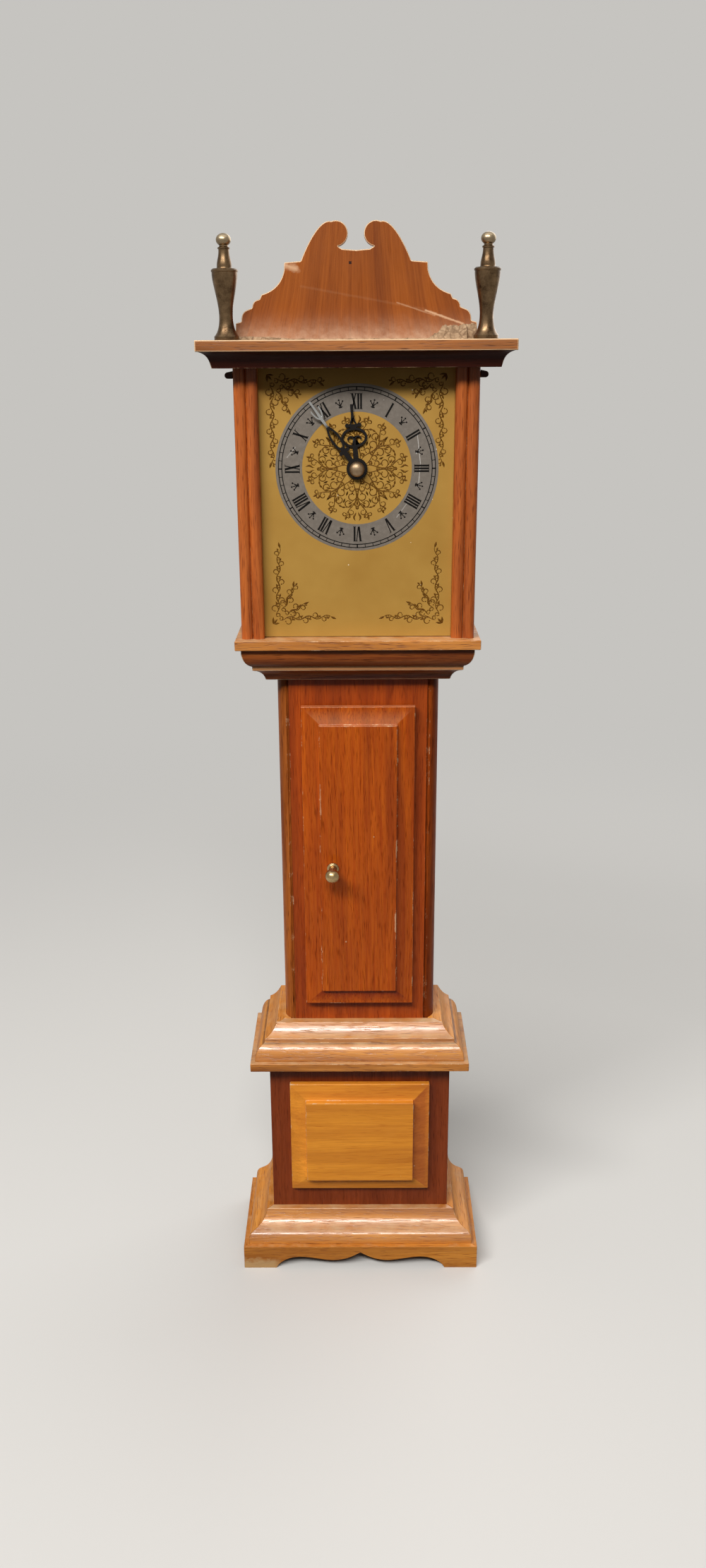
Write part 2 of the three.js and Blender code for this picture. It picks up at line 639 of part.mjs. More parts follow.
/** The block that carries the waist moulding's ledge in to a canted corner. */
function ledgeCorner(side) {
  const near = side * (trunkHalf - LEDGE_CORNER);
  const far = side * (trunkHalf + 0.5 * WAIST_TOP_PROJECTION);
  const block = board(Math.min(near, far), Math.max(near, far), trunkFrontY + MITRE_GAP,
    trunkFrontY + CANT_DEPTH, trunkBottomZ, waistTopZ);
  return cut(block, column(cornerPlan(side), trunkBottomZ - OVERRUN, waistTopZ + OVERRUN));
}

for (const [label, side] of sides) {
  add(`trunk_corner_${label}`, column(cornerPlan(side), trunkBottomZ, trunkTopZ), 'mahogany');
  const inner = side * (trunkHalf - TRUNK_WALL);
  const outer = side * trunkHalf;
  add(`trunk_side_${label}`, board(Math.min(inner, outer), Math.max(inner, outer),
    trunkFrontY + CORNER_DEPTH, backInnerY, trunkBottomZ, trunkTopZ), 'mahogany');
  add(`waist_moulding_${label}`,
    joined(mouldingSide(waist, side, trunkHalf, trunkFrontY), ledgeCorner(side)), 'paleWood');
}

// Trunk door with its knob, hung on two butt hinges behind its right edge
const doorBackY = trunkFrontY - DOOR_STANDOFF;
const doorFaceY = doorBackY - DOOR_EDGE - DOOR_RISE - DOOR_SHOULDER;
const knuckleRadius = HINGE_KNUCKLE_DIAMETER / 2;
const hingeX = doorRight - knuckleRadius;
const hingeY = trunkFrontY - knuckleRadius - HINGE_PLAY;
const hingeMiddles = [
  doorBottomZ + HINGE_INSET + HINGE_LENGTH / 2,
  doorTopZ - HINGE_INSET - HINGE_LENGTH / 2,
];
const knuckleLength = HINGE_LENGTH / 3;

/** An upright round bar for a hinge. */
function hingeBar(diameter, z0, z1) {
  const bar = new THREE.CylinderGeometry(diameter / 2, diameter / 2, z1 - z0, PIN_STEPS);
  return bar.rotateX(Math.PI / 2).translate(hingeX, hingeY, (z0 + z1) / 2);
}

const doorPanel = fieldedPanel({
  x0: doorLeft,
  x1: doorRight,
  z0: doorBottomZ,
  z1: doorTopZ,
  backFace: doorBackY,
  edge: DOOR_EDGE,
  bevel: DOOR_BEVEL,
  rise: DOOR_RISE,
  shoulder: DOOR_SHOULDER,
});
const knuckleSlots = hingeMiddles.map((z) => board(
  hingeX - knuckleRadius - HINGE_SIDE_GAP, doorRight + OVERRUN,
  hingeY - knuckleRadius - HINGE_SIDE_GAP, doorBackY + OVERRUN,
  z - HINGE_LENGTH / 2 - HINGE_SIDE_GAP, z + HINGE_LENGTH / 2 + HINGE_SIDE_GAP,
));
add('trunk_door', cut(doorPanel, ...knuckleSlots), 'doorWood');

hingeMiddles.forEach((middle, i) => {
  const label = ['lower', 'upper'][i];
  const z0 = middle - HINGE_LENGTH / 2;
  const z1 = middle + HINGE_LENGTH / 2;
  const inner0 = middle - knuckleLength / 2;
  const inner1 = middle + knuckleLength / 2;
  const leafX = hingeX - HINGE_LEAF_WIDTH;
  const clearX = hingeX - knuckleRadius - HINGE_SIDE_GAP;
  const middleRoom = board(clearX, hingeX + HINGE_KNUCKLE_DIAMETER, hingeY - HINGE_KNUCKLE_DIAMETER,
    trunkFrontY + OVERRUN, inner0 - HINGE_SIDE_GAP, inner1 + HINGE_SIDE_GAP);
  const fixedLeaf = board(leafX, hingeX, trunkFrontY - HINGE_LEAF_THICKNESS, trunkFrontY, z0, z1);
  const fixedBarrel = hingeBar(HINGE_KNUCKLE_DIAMETER, z0, z1);
  const pin = hingeBar(HINGE_PIN_DIAMETER, inner0 - knuckleLength / 2, inner1 + knuckleLength / 2);
  add(`hinge_${label}_case_leaf`, joined(cut(joined(fixedLeaf, fixedBarrel), middleRoom), pin), 'brass');
  const doorLeaf = board(leafX, clearX, doorBackY, doorBackY + HINGE_LEAF_THICKNESS, z0, z1);
  const tongue = board(clearX - knuckleRadius, hingeX, doorBackY, doorBackY + HINGE_LEAF_THICKNESS,
    inner0, inner1);
  const doorBarrel = hingeBar(HINGE_KNUCKLE_DIAMETER, inner0, inner1);
  const bore = hingeBar(HINGE_PIN_DIAMETER + 3 * HINGE_PLAY, z0, z1);
  add(`hinge_${label}_door_leaf`, cut(joined(doorLeaf, tongue, doorBarrel), bore), 'brass');
});

const knobBall = KNOB_BALL_DIAMETER / 2;
const knobLength = KNOB_REACH + knobBall;
const knobProfile = [
  new THREE.Vector2(0, 0), new THREE.Vector2(KNOB_FLANGE_DIAMETER / 2, 0),
  new THREE.Vector2(KNOB_FLANGE_DIAMETER / 2, KNOB_FLANGE_THICKNESS),
  new THREE.Vector2(KNOB_NECK_DIAMETER / 2, KNOB_FLANGE_THICKNESS + KNOB_COVE_LENGTH),
  new THREE.Vector2(KNOB_NECK_DIAMETER / 2, KNOB_REACH - 0.9 * knobBall),
  ...arcPoints(0, KNOB_REACH, knobBall, knobBall, -50, 80, ARC_STEPS),
  new THREE.Vector2(0, knobLength),
];
add('door_knob', new THREE.LatheGeometry(knobProfile, ROUND_STEPS).rotateX(Math.PI)
  .translate(doorLeft + KNOB_FROM_LEFT, doorFaceY, doorBottomZ + KNOB_HEIGHT), 'brass');

// Neck moulding that carries the hood
const neckFilletZ = neckZ + NECK_COVE_HEIGHT;
const neckOvoloZ = neckFilletZ + NECK_FILLET_HEIGHT;
const neck = new THREE.Shape();
neck.moveTo(0, neckZ);
neck.lineTo(NECK_FOOT_PROJECTION, neckZ);
neck.quadraticCurveTo(NECK_FOOT_PROJECTION + 0.15 * (NECK_FILLET_PROJECTION - NECK_FOOT_PROJECTION),
  neckZ + 0.77 * NECK_COVE_HEIGHT, NECK_FILLET_PROJECTION, neckFilletZ);
neck.lineTo(NECK_FILLET_PROJECTION, neckOvoloZ);
neck.quadraticCurveTo(NECK_FILLET_PROJECTION + 0.8 * (NECK_OVOLO_PROJECTION - NECK_FILLET_PROJECTION),
  neckOvoloZ + 0.25 * NECK_OVOLO_HEIGHT, NECK_OVOLO_PROJECTION, neckOvoloZ + NECK_OVOLO_HEIGHT);
neck.lineTo(NECK_OVOLO_PROJECTION, trunkTopZ);
neck.lineTo(0, trunkTopZ);
add('neck_moulding_front', mouldingFront(neck, trunkHalf, trunkFrontY), 'paleWood');
for (const [label, side] of sides) {
  add(`neck_moulding_${label}`, mouldingSide(neck, side, trunkHalf, trunkFrontY), 'paleWood');
}

// Hood: floor, reeded posts, sides, back, cornice, beads and top board
const hoodHalf = HOOD_WIDTH / 2;
const hoodInner = hoodHalf - HOOD_WALL;
const neckReach = NECK_OVOLO_PROJECTION + HOOD_FLOOR_LEDGE;
add('hood_floor', board(-trunkHalf - neckReach, trunkHalf + neckReach, trunkFrontY - neckReach, backY,
  trunkTopZ, hoodFloorZ), 'paleWood');

/** The plan of a front post: two round reeds side by side. */
function postPlan(side) {
  const plan = new THREE.Shape();
  const reed = POST_WIDTH / 2;
  const edgeY = hoodFrontY + REED_BULGE;
  const innerX = side * (hoodHalf - POST_WIDTH);
  plan.moveTo(innerX, dialFrontY);
  plan.lineTo(innerX, edgeY);
  for (const place of [0, 1]) {
    const middle = innerX + side * (place + 0.5) * reed;
    const arc = arcPoints(middle, edgeY, -side * reed / 2, REED_BULGE, 0, -180, ARC_STEPS);
    arc.slice(1).forEach((p) => plan.lineTo(p.x, p.y));
  }
  plan.lineTo(side * hoodHalf, dialFrontY);
  return plan;
}

const cornice = new THREE.Shape();
cornice.moveTo(-HOOD_WALL, corniceZ);
cornice.lineTo(CORNICE_FILLET_PROJECTION, corniceZ);
cornice.lineTo(CORNICE_FILLET_PROJECTION + CORNICE_FILLET_SLOPE, corniceZ + CORNICE_FILLET_HEIGHT);
cornice.quadraticCurveTo(
  CORNICE_FILLET_PROJECTION + 0.3 * (CORNICE_PROJECTION - CORNICE_FILLET_PROJECTION),
  corniceZ + CORNICE_FILLET_HEIGHT + 0.8 * (CORNICE_HEIGHT - CORNICE_FILLET_HEIGHT),
  CORNICE_PROJECTION, topBoardZ,
);
cornice.lineTo(-HOOD_WALL, topBoardZ);

const beadRadius = BEAD_HEIGHT / 2;
const beadMiddleZ = corniceZ - BEAD_DROP - beadRadius;
const beadFrontY = hoodFrontY + REED_BULGE;
const beadShape = new THREE.Shape([
  new THREE.Vector2(0, beadMiddleZ - beadRadius),
  ...arcPoints(BEAD_PROJECTION - beadRadius, beadMiddleZ, beadRadius, beadRadius, -90, 90, ARC_STEPS),
  new THREE.Vector2(0, beadMiddleZ + beadRadius),
]);

add('cornice_front', mouldingFront(cornice, hoodHalf, hoodFrontY), 'darkMahogany');
for (const [label, side] of sides) {
  add(`hood_post_${label}`, column(postPlan(side), hoodFloorZ, corniceZ), 'mahogany');
  const inner = side * hoodInner;
  const outer = side * hoodHalf;
  add(`hood_side_${label}`, board(Math.min(inner, outer), Math.max(inner, outer), dialFrontY, backY,
    hoodFloorZ, corniceZ), 'mahogany');
  add(`cornice_${label}`, mouldingSide(cornice, side, hoodHalf, hoodFrontY), 'darkMahogany');
  add(`hood_bead_${label}`, bentMoulding(beadShape, (projection, along) => [
    side * (hoodHalf + projection), beadFrontY + along * (backY - beadFrontY),
  ]), 'darkMahogany');
}
const movementSize = BATTERY_LENGTH + BATTERY_NUB_LENGTH + 2 * (CELL_END_ROOM + MOVEMENT_WALL);
const accessHalf = movementSize / 2 + ACCESS_SIDE_ROOM;
const accessReach = movementSize / 2 + ACCESS_END_ROOM;
const access = board(-accessHalf, accessHalf, backInnerY - OVERRUN, backY + OVERRUN,
  dialZ - accessReach, dialZ + accessReach);
add('hood_back', cut(board(-hoodInner, hoodInner, backInnerY, backY, hoodFloorZ, topBoardZ), access),
  'backboard');
const topFrontY = backY - topBoardDepth;
add('hood_top_board', board(-topBoardWidth / 2, topBoardWidth / 2, topFrontY, backY, topBoardZ, roofZ),
  'paleWood');

// Pediment: a fretted board with two inward horns over stepped shoulders

/** Half of the pediment's outline, from the middle outwards and down to the top board. */
function pedimentHalf() {
  const end = PEDIMENT_WIDTH / 2;
  const hornX = HORN_SPACING / 2;
  const shoulder = PEDIMENT_SHOULDER_REACH;
  const outer = end - shoulder;
  const path = new THREE.Path();
  path.moveTo(0, PEDIMENT_LEDGE_HEIGHT);
  path.lineTo(hornX - 0.5 * HORN_RADIUS, PEDIMENT_LEDGE_HEIGHT + PEDIMENT_DIP);
  path.absarc(hornX, HORN_RISE, HORN_RADIUS, THREE.MathUtils.degToRad(HORN_NOTCH_ANGLE),
    THREE.MathUtils.degToRad(HORN_CREST_ANGLE), true);
  const shelf = shoulder - PEDIMENT_SHOULDER_LENGTH;
  path.bezierCurveTo(hornX + 1.16 * HORN_RADIUS, HORN_RISE + 1.17 * HORN_RADIUS,
    shelf - 0.8 * HORN_RADIUS, PEDIMENT_SHOULDER_HEIGHT + 2 * HORN_RADIUS,
    shelf, PEDIMENT_SHOULDER_HEIGHT + PEDIMENT_DIP);
  path.lineTo(shoulder, PEDIMENT_SHOULDER_HEIGHT);
  path.lineTo(shoulder + 0.01 * outer, 0.9 * PEDIMENT_SHOULDER_HEIGHT);
  path.quadraticCurveTo(shoulder + 0.09 * outer, 0.66 * PEDIMENT_SHOULDER_HEIGHT,
    shoulder + 0.46 * outer, 0.59 * PEDIMENT_SHOULDER_HEIGHT);
  path.lineTo(shoulder + 0.5 * outer, 0.53 * PEDIMENT_SHOULDER_HEIGHT);
  path.quadraticCurveTo(shoulder + 0.64 * outer, 0.52 * PEDIMENT_SHOULDER_HEIGHT,
    shoulder + 0.65 * outer, 0.42 * PEDIMENT_SHOULDER_HEIGHT);
  path.lineTo(shoulder + 0.76 * outer, 0.39 * PEDIMENT_SHOULDER_HEIGHT);
  path.quadraticCurveTo(shoulder + 0.87 * outer, 0.36 * PEDIMENT_SHOULDER_HEIGHT,
    shoulder + 0.87 * outer, 0.24 * PEDIMENT_SHOULDER_HEIGHT);
  path.lineTo(shoulder + 0.98 * outer, 0.22 * PEDIMENT_SHOULDER_HEIGHT);
  path.lineTo(end, 0);
  return path.getPoints(FRET_STEPS);
}

add('pediment', upright(mirroredShape(pedimentHalf()), topFrontY + PEDIMENT_SETBACK, PEDIMENT_THICKNESS)
  .translate(0, 0, roofZ), 'mahogany');

// Turned finials: a flared foot, an urn under a disc, a short column, a neck and a ball
const finialBase = FINIAL_BASE_DIAMETER / 2;
const finialWaist = FINIAL_WAIST_DIAMETER / 2;
const finialUrn = FINIAL_URN_DIAMETER / 2;
const finialDisc = FINIAL_DISC_DIAMETER / 2;
const finialLip = FINIAL_LIP_DIAMETER / 2;
const finialColumn = FINIAL_COLUMN_DIAMETER / 2;
const finialNeck = FINIAL_NECK_DIAMETER / 2;
const finialBall = FINIAL_BALL_DIAMETER / 2;
const urnTop = FINIAL_FOOT_HEIGHT + FINIAL_URN_HEIGHT;
const discTop = urnTop + FINIAL_DISC_THICKNESS;
const columnTop = discTop + FINIAL_COLUMN_HEIGHT;
const ballStart = -Math.acos(finialNeck / finialBall);
const ballMiddle = columnTop + FINIAL_NECK_HEIGHT - FINIAL_BALL_HEIGHT / 2 * Math.sin(ballStart);
const finialPoints = new THREE.Path();
finialPoints.moveTo(0, 0);
finialPoints.lineTo(finialBase, 0);
finialPoints.lineTo(finialBase, 0.15 * FINIAL_FOOT_HEIGHT);
finialPoints.quadraticCurveTo(finialWaist, 0.4 * FINIAL_FOOT_HEIGHT, finialWaist, FINIAL_FOOT_HEIGHT);
finialPoints.bezierCurveTo(finialWaist, FINIAL_FOOT_HEIGHT + 0.35 * FINIAL_URN_HEIGHT,
  finialUrn, FINIAL_FOOT_HEIGHT + 0.75 * FINIAL_URN_HEIGHT, 0.93 * finialUrn, urnTop);
finialPoints.lineTo(finialDisc, urnTop);
finialPoints.lineTo(finialDisc, urnTop + 0.6 * FINIAL_DISC_THICKNESS);
finialPoints.lineTo(finialLip, discTop);
finialPoints.lineTo(finialColumn + FINIAL_COLUMN_FLARE, discTop);
finialPoints.quadraticCurveTo(finialColumn, discTop + FINIAL_COLUMN_FLARE,
  finialColumn, discTop + 3 * FINIAL_COLUMN_FLARE);
finialPoints.lineTo(finialColumn, columnTop - FINIAL_COLUMN_FLARE);
finialPoints.lineTo(finialNeck, columnTop);
finialPoints.lineTo(finialNeck, columnTop + FINIAL_NECK_HEIGHT);
finialPoints.absellipse(0, ballMiddle, finialBall, FINIAL_BALL_HEIGHT / 2, ballStart, Math.PI / 2, false, 0);
for (const [label, side] of sides) {
  const turned = new THREE.LatheGeometry(finialPoints.getPoints(CURVE_STEPS), ROUND_STEPS);
  add(`finial_${label}`, turned.rotateX(Math.PI / 2)
    .translate(side * (topBoardWidth / 2 - FINIAL_INSET), topFrontY + FINIAL_SETBACK, roofZ), 'brass');
}

// Dial plate on its board, both pierced for the bushing
const dialHalf = hoodInner - DIAL_CLEARANCE;
const dialBottomZ = hoodFloorZ + DIAL_CLEARANCE;
const dialTopZ = corniceZ - DIAL_CLEARANCE;
const bushingHole = barAlongY(BUSHING_DIAMETER + 2 * DIAL_CLEARANCE, dialFrontY - OVERRUN,
  movementFrontY + OVERRUN, 0, dialZ);
const dialSheet = board(-dialHalf, dialHalf, dialFrontY, dialBoardY, dialBottomZ, dialTopZ);
const dialBacking = board(-dialHalf, dialHalf, dialBoardY, movementFrontY, dialBottomZ, dialTopZ);
add('dial_plate', cut(dialSheet, bushingHole), 'dialBrass');
add('dial_board', cut(dialBacking, bushingHole), 'backboard');

// Movement case: a tray with a bay for the cell below and the works above, open at the back
const caseHalf = movementSize / 2;
const caseInner = caseHalf - MOVEMENT_WALL;
const worksFrontY = movementFrontY + MOVEMENT_WALL;
const bayHeight = BATTERY_DIAMETER + 2 * BATTERY_PLAY;
const bayTopZ = dialZ - caseInner + bayHeight;
const worksBottomZ = bayTopZ + MOVEMENT_WALL;
const worksTopZ = dialZ + caseInner;
const bushingFrontY = dialFrontY - DIAL_CLEARANCE;
const tray = board(-caseHalf, caseHalf, movementFrontY, movementBackY, dialZ - caseHalf, dialZ + caseHalf);
const trayBackY = movementBackY + OVERRUN;
const worksRoom = board(-caseInner, caseInner, worksFrontY, trayBackY, worksBottomZ, worksTopZ);
const bayRoom = board(-caseInner, caseInner, worksFrontY, trayBackY, dialZ - caseInner, bayTopZ);
const bushing = barAlongY(BUSHING_DIAMETER, bushingFrontY, worksFrontY, 0, dialZ);
const bushingBore = barAlongY(HOUR_PIPE_DIAMETER + 2 * SHAFT_PLAY, bushingFrontY - OVERRUN,
  worksFrontY + OVERRUN, 0, dialZ);
const pivotHole = barAlongY(SETTING_PIVOT_DIAMETER + 2 * SHAFT_PLAY, movementFrontY - OVERRUN,
  worksFrontY + OVERRUN, 0, settingZ);
add('movement_case', cut(joined(cut(tray, worksRoom, bayRoom), bushing), bushingBore, pivotHole), 'plastic');

const coverFrontY = movementBackY - MOVEMENT_WALL;
const arborBackY = coverFrontY - AXIAL_PLAY;
const arborBossY = coverFrontY - ARBOR_BOSS_LENGTH;
const socketDiameter = ARBOR_DIAMETER + 2 * SHAFT_PLAY;
const coverHalf = caseInner - COVER_CLEARANCE;
const coverPlate = board(-coverHalf, coverHalf, coverFrontY, movementBackY,
  worksBottomZ + COVER_CLEARANCE, worksTopZ - COVER_CLEARANCE);
const arborBoss = barAlongY(socketDiameter + 2 * ARBOR_BOSS_WALL, arborBossY, movementBackY, 0, dialZ);
const arborSocket = barAlongY(socketDiameter, arborBossY - OVERRUN, coverFrontY, 0, dialZ);
const settingHole = barAlongY(SETTING_SHAFT_DIAMETER + 2 * SHAFT_PLAY, coverFrontY - OVERRUN,
  movementBackY + OVERRUN, 0, settingZ);
add('movement_cover', cut(joined(coverPlate, arborBoss), arborSocket, settingHole), 'plastic');

// Cell with its two contacts in the bay
const bayMiddleZ = dialZ - caseInner + bayHeight / 2;
const cellMiddleY = worksFrontY + BATTERY_DIAMETER / 2 + CELL_SEAT_GAP;
const cellTotal = BATTERY_LENGTH + BATTERY_NUB_LENGTH;
const cellStart = -cellTotal / 2;
const cellRadius = BATTERY_DIAMETER / 2;
const cellProfile = [
  [0, 0], [cellRadius - BATTERY_CHAMFER, 0], [cellRadius, BATTERY_CHAMFER],
  [cellRadius, BATTERY_LENGTH - BATTERY_CHAMFER], [cellRadius - BATTERY_CHAMFER, BATTERY_LENGTH],
  [BATTERY_NUB_DIAMETER / 2, BATTERY_LENGTH], [BATTERY_NUB_DIAMETER / 2, cellTotal], [0, cellTotal],
].map(([radius, height]) => new THREE.Vector2(radius, height));
add('battery', new THREE.LatheGeometry(cellProfile, ROUND_STEPS).rotateZ(-Math.PI / 2)
  .translate(cellStart, cellMiddleY, bayMiddleZ), 'cell');

const contactGap = caseInner - cellTotal / 2;
const contactZ0 = bayMiddleZ - CONTACT_WIDTH / 2;
const contactZ1 = bayMiddleZ + CONTACT_WIDTH / 2;

/** A bent contact leaf that stands on an end wall of the bay and bows out to the cell. */
function contactLeaf(side) {
  const wallX = side * caseInner;
  const tipX = side * (cellTotal / 2 + CELL_SEAT_GAP + CONTACT_THICKNESS / 2);
  const footX = wallX - side * CONTACT_THICKNESS / 2;
  const bow = 0.35 * BATTERY_DIAMETER;
  const leaf = ribbon([
    new THREE.Vector2(footX, cellMiddleY - 1.2 * bow), new THREE.Vector2(footX, cellMiddleY - bow),
    new THREE.Vector2(tipX, cellMiddleY - 0.2 * bow), new THREE.Vector2(tipX, cellMiddleY + 0.2 * bow),
    new THREE.Vector2(footX - side * 0.2 * contactGap, cellMiddleY + bow),
  ], CONTACT_THICKNESS);
  return column(leaf, contactZ0, contactZ1);
}

add('battery_contact_minus', contactLeaf(-1), 'brass');
add('battery_contact_plus', contactLeaf(1), 'brass');

// Drive coil of the stepping motor, lying on the floor of the works
const coilRadius = COIL_DIAMETER / 2;
const coilFlange = COIL_FLANGE_DIAMETER / 2;
const coilProfile = [
  [0, 0], [coilFlange, 0], [coilFlange, COIL_FLANGE_THICKNESS], [coilRadius, COIL_FLANGE_THICKNESS],
  [coilRadius, COIL_LENGTH - COIL_FLANGE_THICKNESS], [coilFlange, COIL_LENGTH - COIL_FLANGE_THICKNESS],
  [coilFlange, COIL_LENGTH], [0, COIL_LENGTH],
].map(([radius, height]) => new THREE.Vector2(radius, height));
add('drive_coil', new THREE.LatheGeometry(coilProfile, ROUND_STEPS).rotateZ(-Math.PI / 2)
  .translate(-COIL_LENGTH / 2, worksFrontY + coilFlange + COIL_SEAT_GAP,
    worksTopZ - coilFlange - COIL_SEAT_GAP), 'copper');

// Motion work, meshed on two parallel arbors
const hourWheelY = worksFrontY + AXIAL_PLAY;
const settingWheelY = hourWheelY + WHEEL_THICKNESS + WHEEL_GAP;
const pinionY = settingWheelY - PINION_OVERHANG;
const pinionThickness = WHEEL_THICKNESS + 2 * PINION_OVERHANG;
const hourHandY = bushingFrontY - AXIAL_PLAY - HAND_THICKNESS;
const minuteHandY = hourHandY - HAND_SPACING;
const arborFrontY = minuteHandY - THREAD_LENGTH;
const upwards = Math.PI / 2;

const hourPipe = barAlongY(HOUR_PIPE_DIAMETER, hourHandY, hourWheelY + WHEEL_THICKNESS, 0, dialZ);
const hourBore = barAlongY(socketDiameter, hourHandY - OVERRUN, hourWheelY + WHEEL_THICKNESS + OVERRUN,
  0, dialZ);
const hourDisc = gear(HOUR_WHEEL_TEETH, upwards, dialZ, hourWheelY, WHEEL_THICKNESS);
add('hour_wheel', cut(joined(hourDisc, hourPipe), hourBore), 'palePlastic');

const minutePinion = gear(MINUTE_PINION_TEETH, upwards, dialZ, pinionY, pinionThickness);
const arbor = barAlongY(ARBOR_DIAMETER, arborFrontY, arborBackY, 0, dialZ);
add('minute_arbor', joined(arbor, minutePinion), 'brass');

const settingPinionPhase = -upwards + Math.PI / SETTING_PINION_TEETH;
const settingWheelPhase = -upwards + Math.PI / SETTING_WHEEL_TEETH;
const settingPinion = gear(SETTING_PINION_TEETH, settingPinionPhase, settingZ, hourWheelY,
  settingWheelY - hourWheelY + PIVOT_LAP);
const settingDisc = gear(SETTING_WHEEL_TEETH, settingWheelPhase, settingZ, settingWheelY, WHEEL_THICKNESS);
const settingPivot = barAlongY(SETTING_PIVOT_DIAMETER, movementFrontY + AXIAL_PLAY, hourWheelY + PIVOT_LAP,
  0, settingZ);
const settingKnobY = movementBackY + AXIAL_PLAY;
const knobFloorY = settingKnobY + SETTING_KNOB_HEIGHT - SETTING_KNOB_FLOOR;
const settingShaft = barAlongY(SETTING_SHAFT_DIAMETER, settingWheelY, knobFloorY - SHAFT_PLAY, 0, settingZ);
add('setting_wheel', joined(settingPinion, settingDisc, settingPivot, settingShaft), 'palePlastic');

const knurl = new THREE.Shape(Array.from({ length: 2 * KNURL_COUNT }, (_, k) => {
  const angle = Math.PI * k / KNURL_COUNT;
  const radius = SETTING_KNOB_DIAMETER / 2 - (k % 2) * KNURL_DEPTH;
  return new THREE.Vector2(radius * Math.cos(angle), radius * Math.sin(angle));
}));
const settingSocket = barAlongY(SETTING_SHAFT_DIAMETER + 2 * SHAFT_PLAY, settingKnobY - OVERRUN, knobFloorY,
  0, settingZ);
add('setting_knob', cut(upright(knurl, settingKnobY, SETTING_KNOB_HEIGHT).translate(0, 0, settingZ),
  settingSocket), 'palePlastic');

// Pierced serpentine hands, drawn upright and then turned to the time shown
const hourHubBore = HOUR_PIPE_DIAMETER / 2 + SHAFT_PLAY;
const minuteHubBore = ARBOR_DIAMETER / 2 + SHAFT_PLAY;
const stemHalf = STEM_WIDTH / 2;
const lobeRadius = LOBE_DIAMETER / 2;

/** Several flat shapes joined to one hand, turned by an angle in degrees to the left of upright. */
function hand(shapes, frontY, angle) {
  const [first, ...others] = shapes.map((shape) => upright(shape, frontY, HAND_THICKNESS));
  return joined(first, ...others).rotateY(THREE.MathUtils.degToRad(-angle)).translate(0, 0, dialZ);
}

/** A polygon from (x, y) pairs, mirrored about the hand's middle line. */
function handShape(pairs) {
  return mirroredShape(pairs.map(([x, y]) => new THREE.Vector2(x, y)));
}

/** A small round lobe. */
function lobe(x, y, radius) {
  return new THREE.Shape(arcPoints(x, y, radius, radius, 0, 360, 10).slice(0, -1));
}

/** A closed loop of constant band between two half ellipses, as on a scroll. */
function scrollRing(cy, width, height, band) {
  const outline = (inset) => arcPoints(0, cy, width / 2 - inset, height / 2 - inset, 0, 360, FINE_STEPS)
    .slice(0, -1);
  const shape = new THREE.Shape(outline(0));
  shape.holes.push(new THREE.Path(outline(band)));
  return shape;
}

// Hour hand: a stem, a wide scroll with two inner curls, a cross of lobes and a pierced spear
const scrollBottom = HOUR_SCROLL_CENTRE - HOUR_SCROLL_HEIGHT / 2;
const spearFoot = HOUR_SCROLL_CENTRE + HOUR_SCROLL_HEIGHT / 2 - 0.5 * SCROLL_BAND;
const spearHalf = HOUR_SPEAR_FOOT / 2;
const shaftHalf = HOUR_SPEAR_SHAFT / 2;
const windowHalf = HOUR_WINDOW_WIDTH / 2;
const windowFoot = HOUR_CROSS_CENTRE + 0.4 * lobeRadius;
const spearPath = new THREE.Path();
spearPath.moveTo(0, spearFoot);
spearPath.lineTo(stemHalf, spearFoot);
spearPath.lineTo(spearHalf, HOUR_CROSS_CENTRE);
spearPath.quadraticCurveTo(shaftHalf, HOUR_CROSS_CENTRE + 0.4 * (HOUR_SPEAR_NECK - HOUR_CROSS_CENTRE),
  shaftHalf, HOUR_SPEAR_NECK);
spearPath.lineTo(shaftHalf, HOUR_HAND_LENGTH);
spearPath.lineTo(0, HOUR_HAND_LENGTH);
const hourSpear = mirroredShape(spearPath.getPoints(CURVE_STEPS));
hourSpear.holes.push(new THREE.Path([
  new THREE.Vector2(-windowHalf, windowFoot),
  new THREE.Vector2(windowHalf, windowFoot),
  new THREE.Vector2(0, HOUR_WINDOW_TOP),
]));
const hourShapes = [
  ringShape(HOUR_HUB_DIAMETER / 2, hourHubBore),
  handShape([[0, hourHubBore + HUB_LAP], [stemHalf, hourHubBore + 2 * HUB_LAP],
    [stemHalf, scrollBottom + 0.5 * SCROLL_BAND], [0, scrollBottom + 0.5 * SCROLL_BAND]]),
  scrollRing(HOUR_SCROLL_CENTRE, HOUR_SCROLL_WIDTH, HOUR_SCROLL_HEIGHT, SCROLL_BAND),
  hourSpear,
];
for (const side of [-1, 1]) {
  const curl = arcPoints(side * 0.14 * HOUR_SCROLL_WIDTH, HOUR_SCROLL_CENTRE - 0.1 * HOUR_SCROLL_HEIGHT,
    side * 0.12 * HOUR_SCROLL_WIDTH, 0.16 * HOUR_SCROLL_HEIGHT, 200, 0, CURVE_STEPS);
  hourShapes.push(ribbon([new THREE.Vector2(0, scrollBottom), ...curl], 0.6 * SCROLL_BAND));
  hourShapes.push(lobe(side * HOUR_CROSS_WIDTH / 2, HOUR_CROSS_CENTRE, lobeRadius));
  hourShapes.push(lobe(side * 0.3 * HOUR_CROSS_WIDTH, HOUR_CROSS_CENTRE - 0.2 * lobeRadius,
    0.8 * lobeRadius));
}
add('hour_hand', hand(hourShapes, hourHandY, HOUR_HAND_ANGLE), 'blackSteel');

// Minute hand: a stem with two lobes, a long pointed loop and a barbed tip
const loopHalf = MINUTE_LOOP_WIDTH / 2;
const loopWidest = MINUTE_LOOP_START + 0.4 * (MINUTE_LOOP_END - MINUTE_LOOP_START);

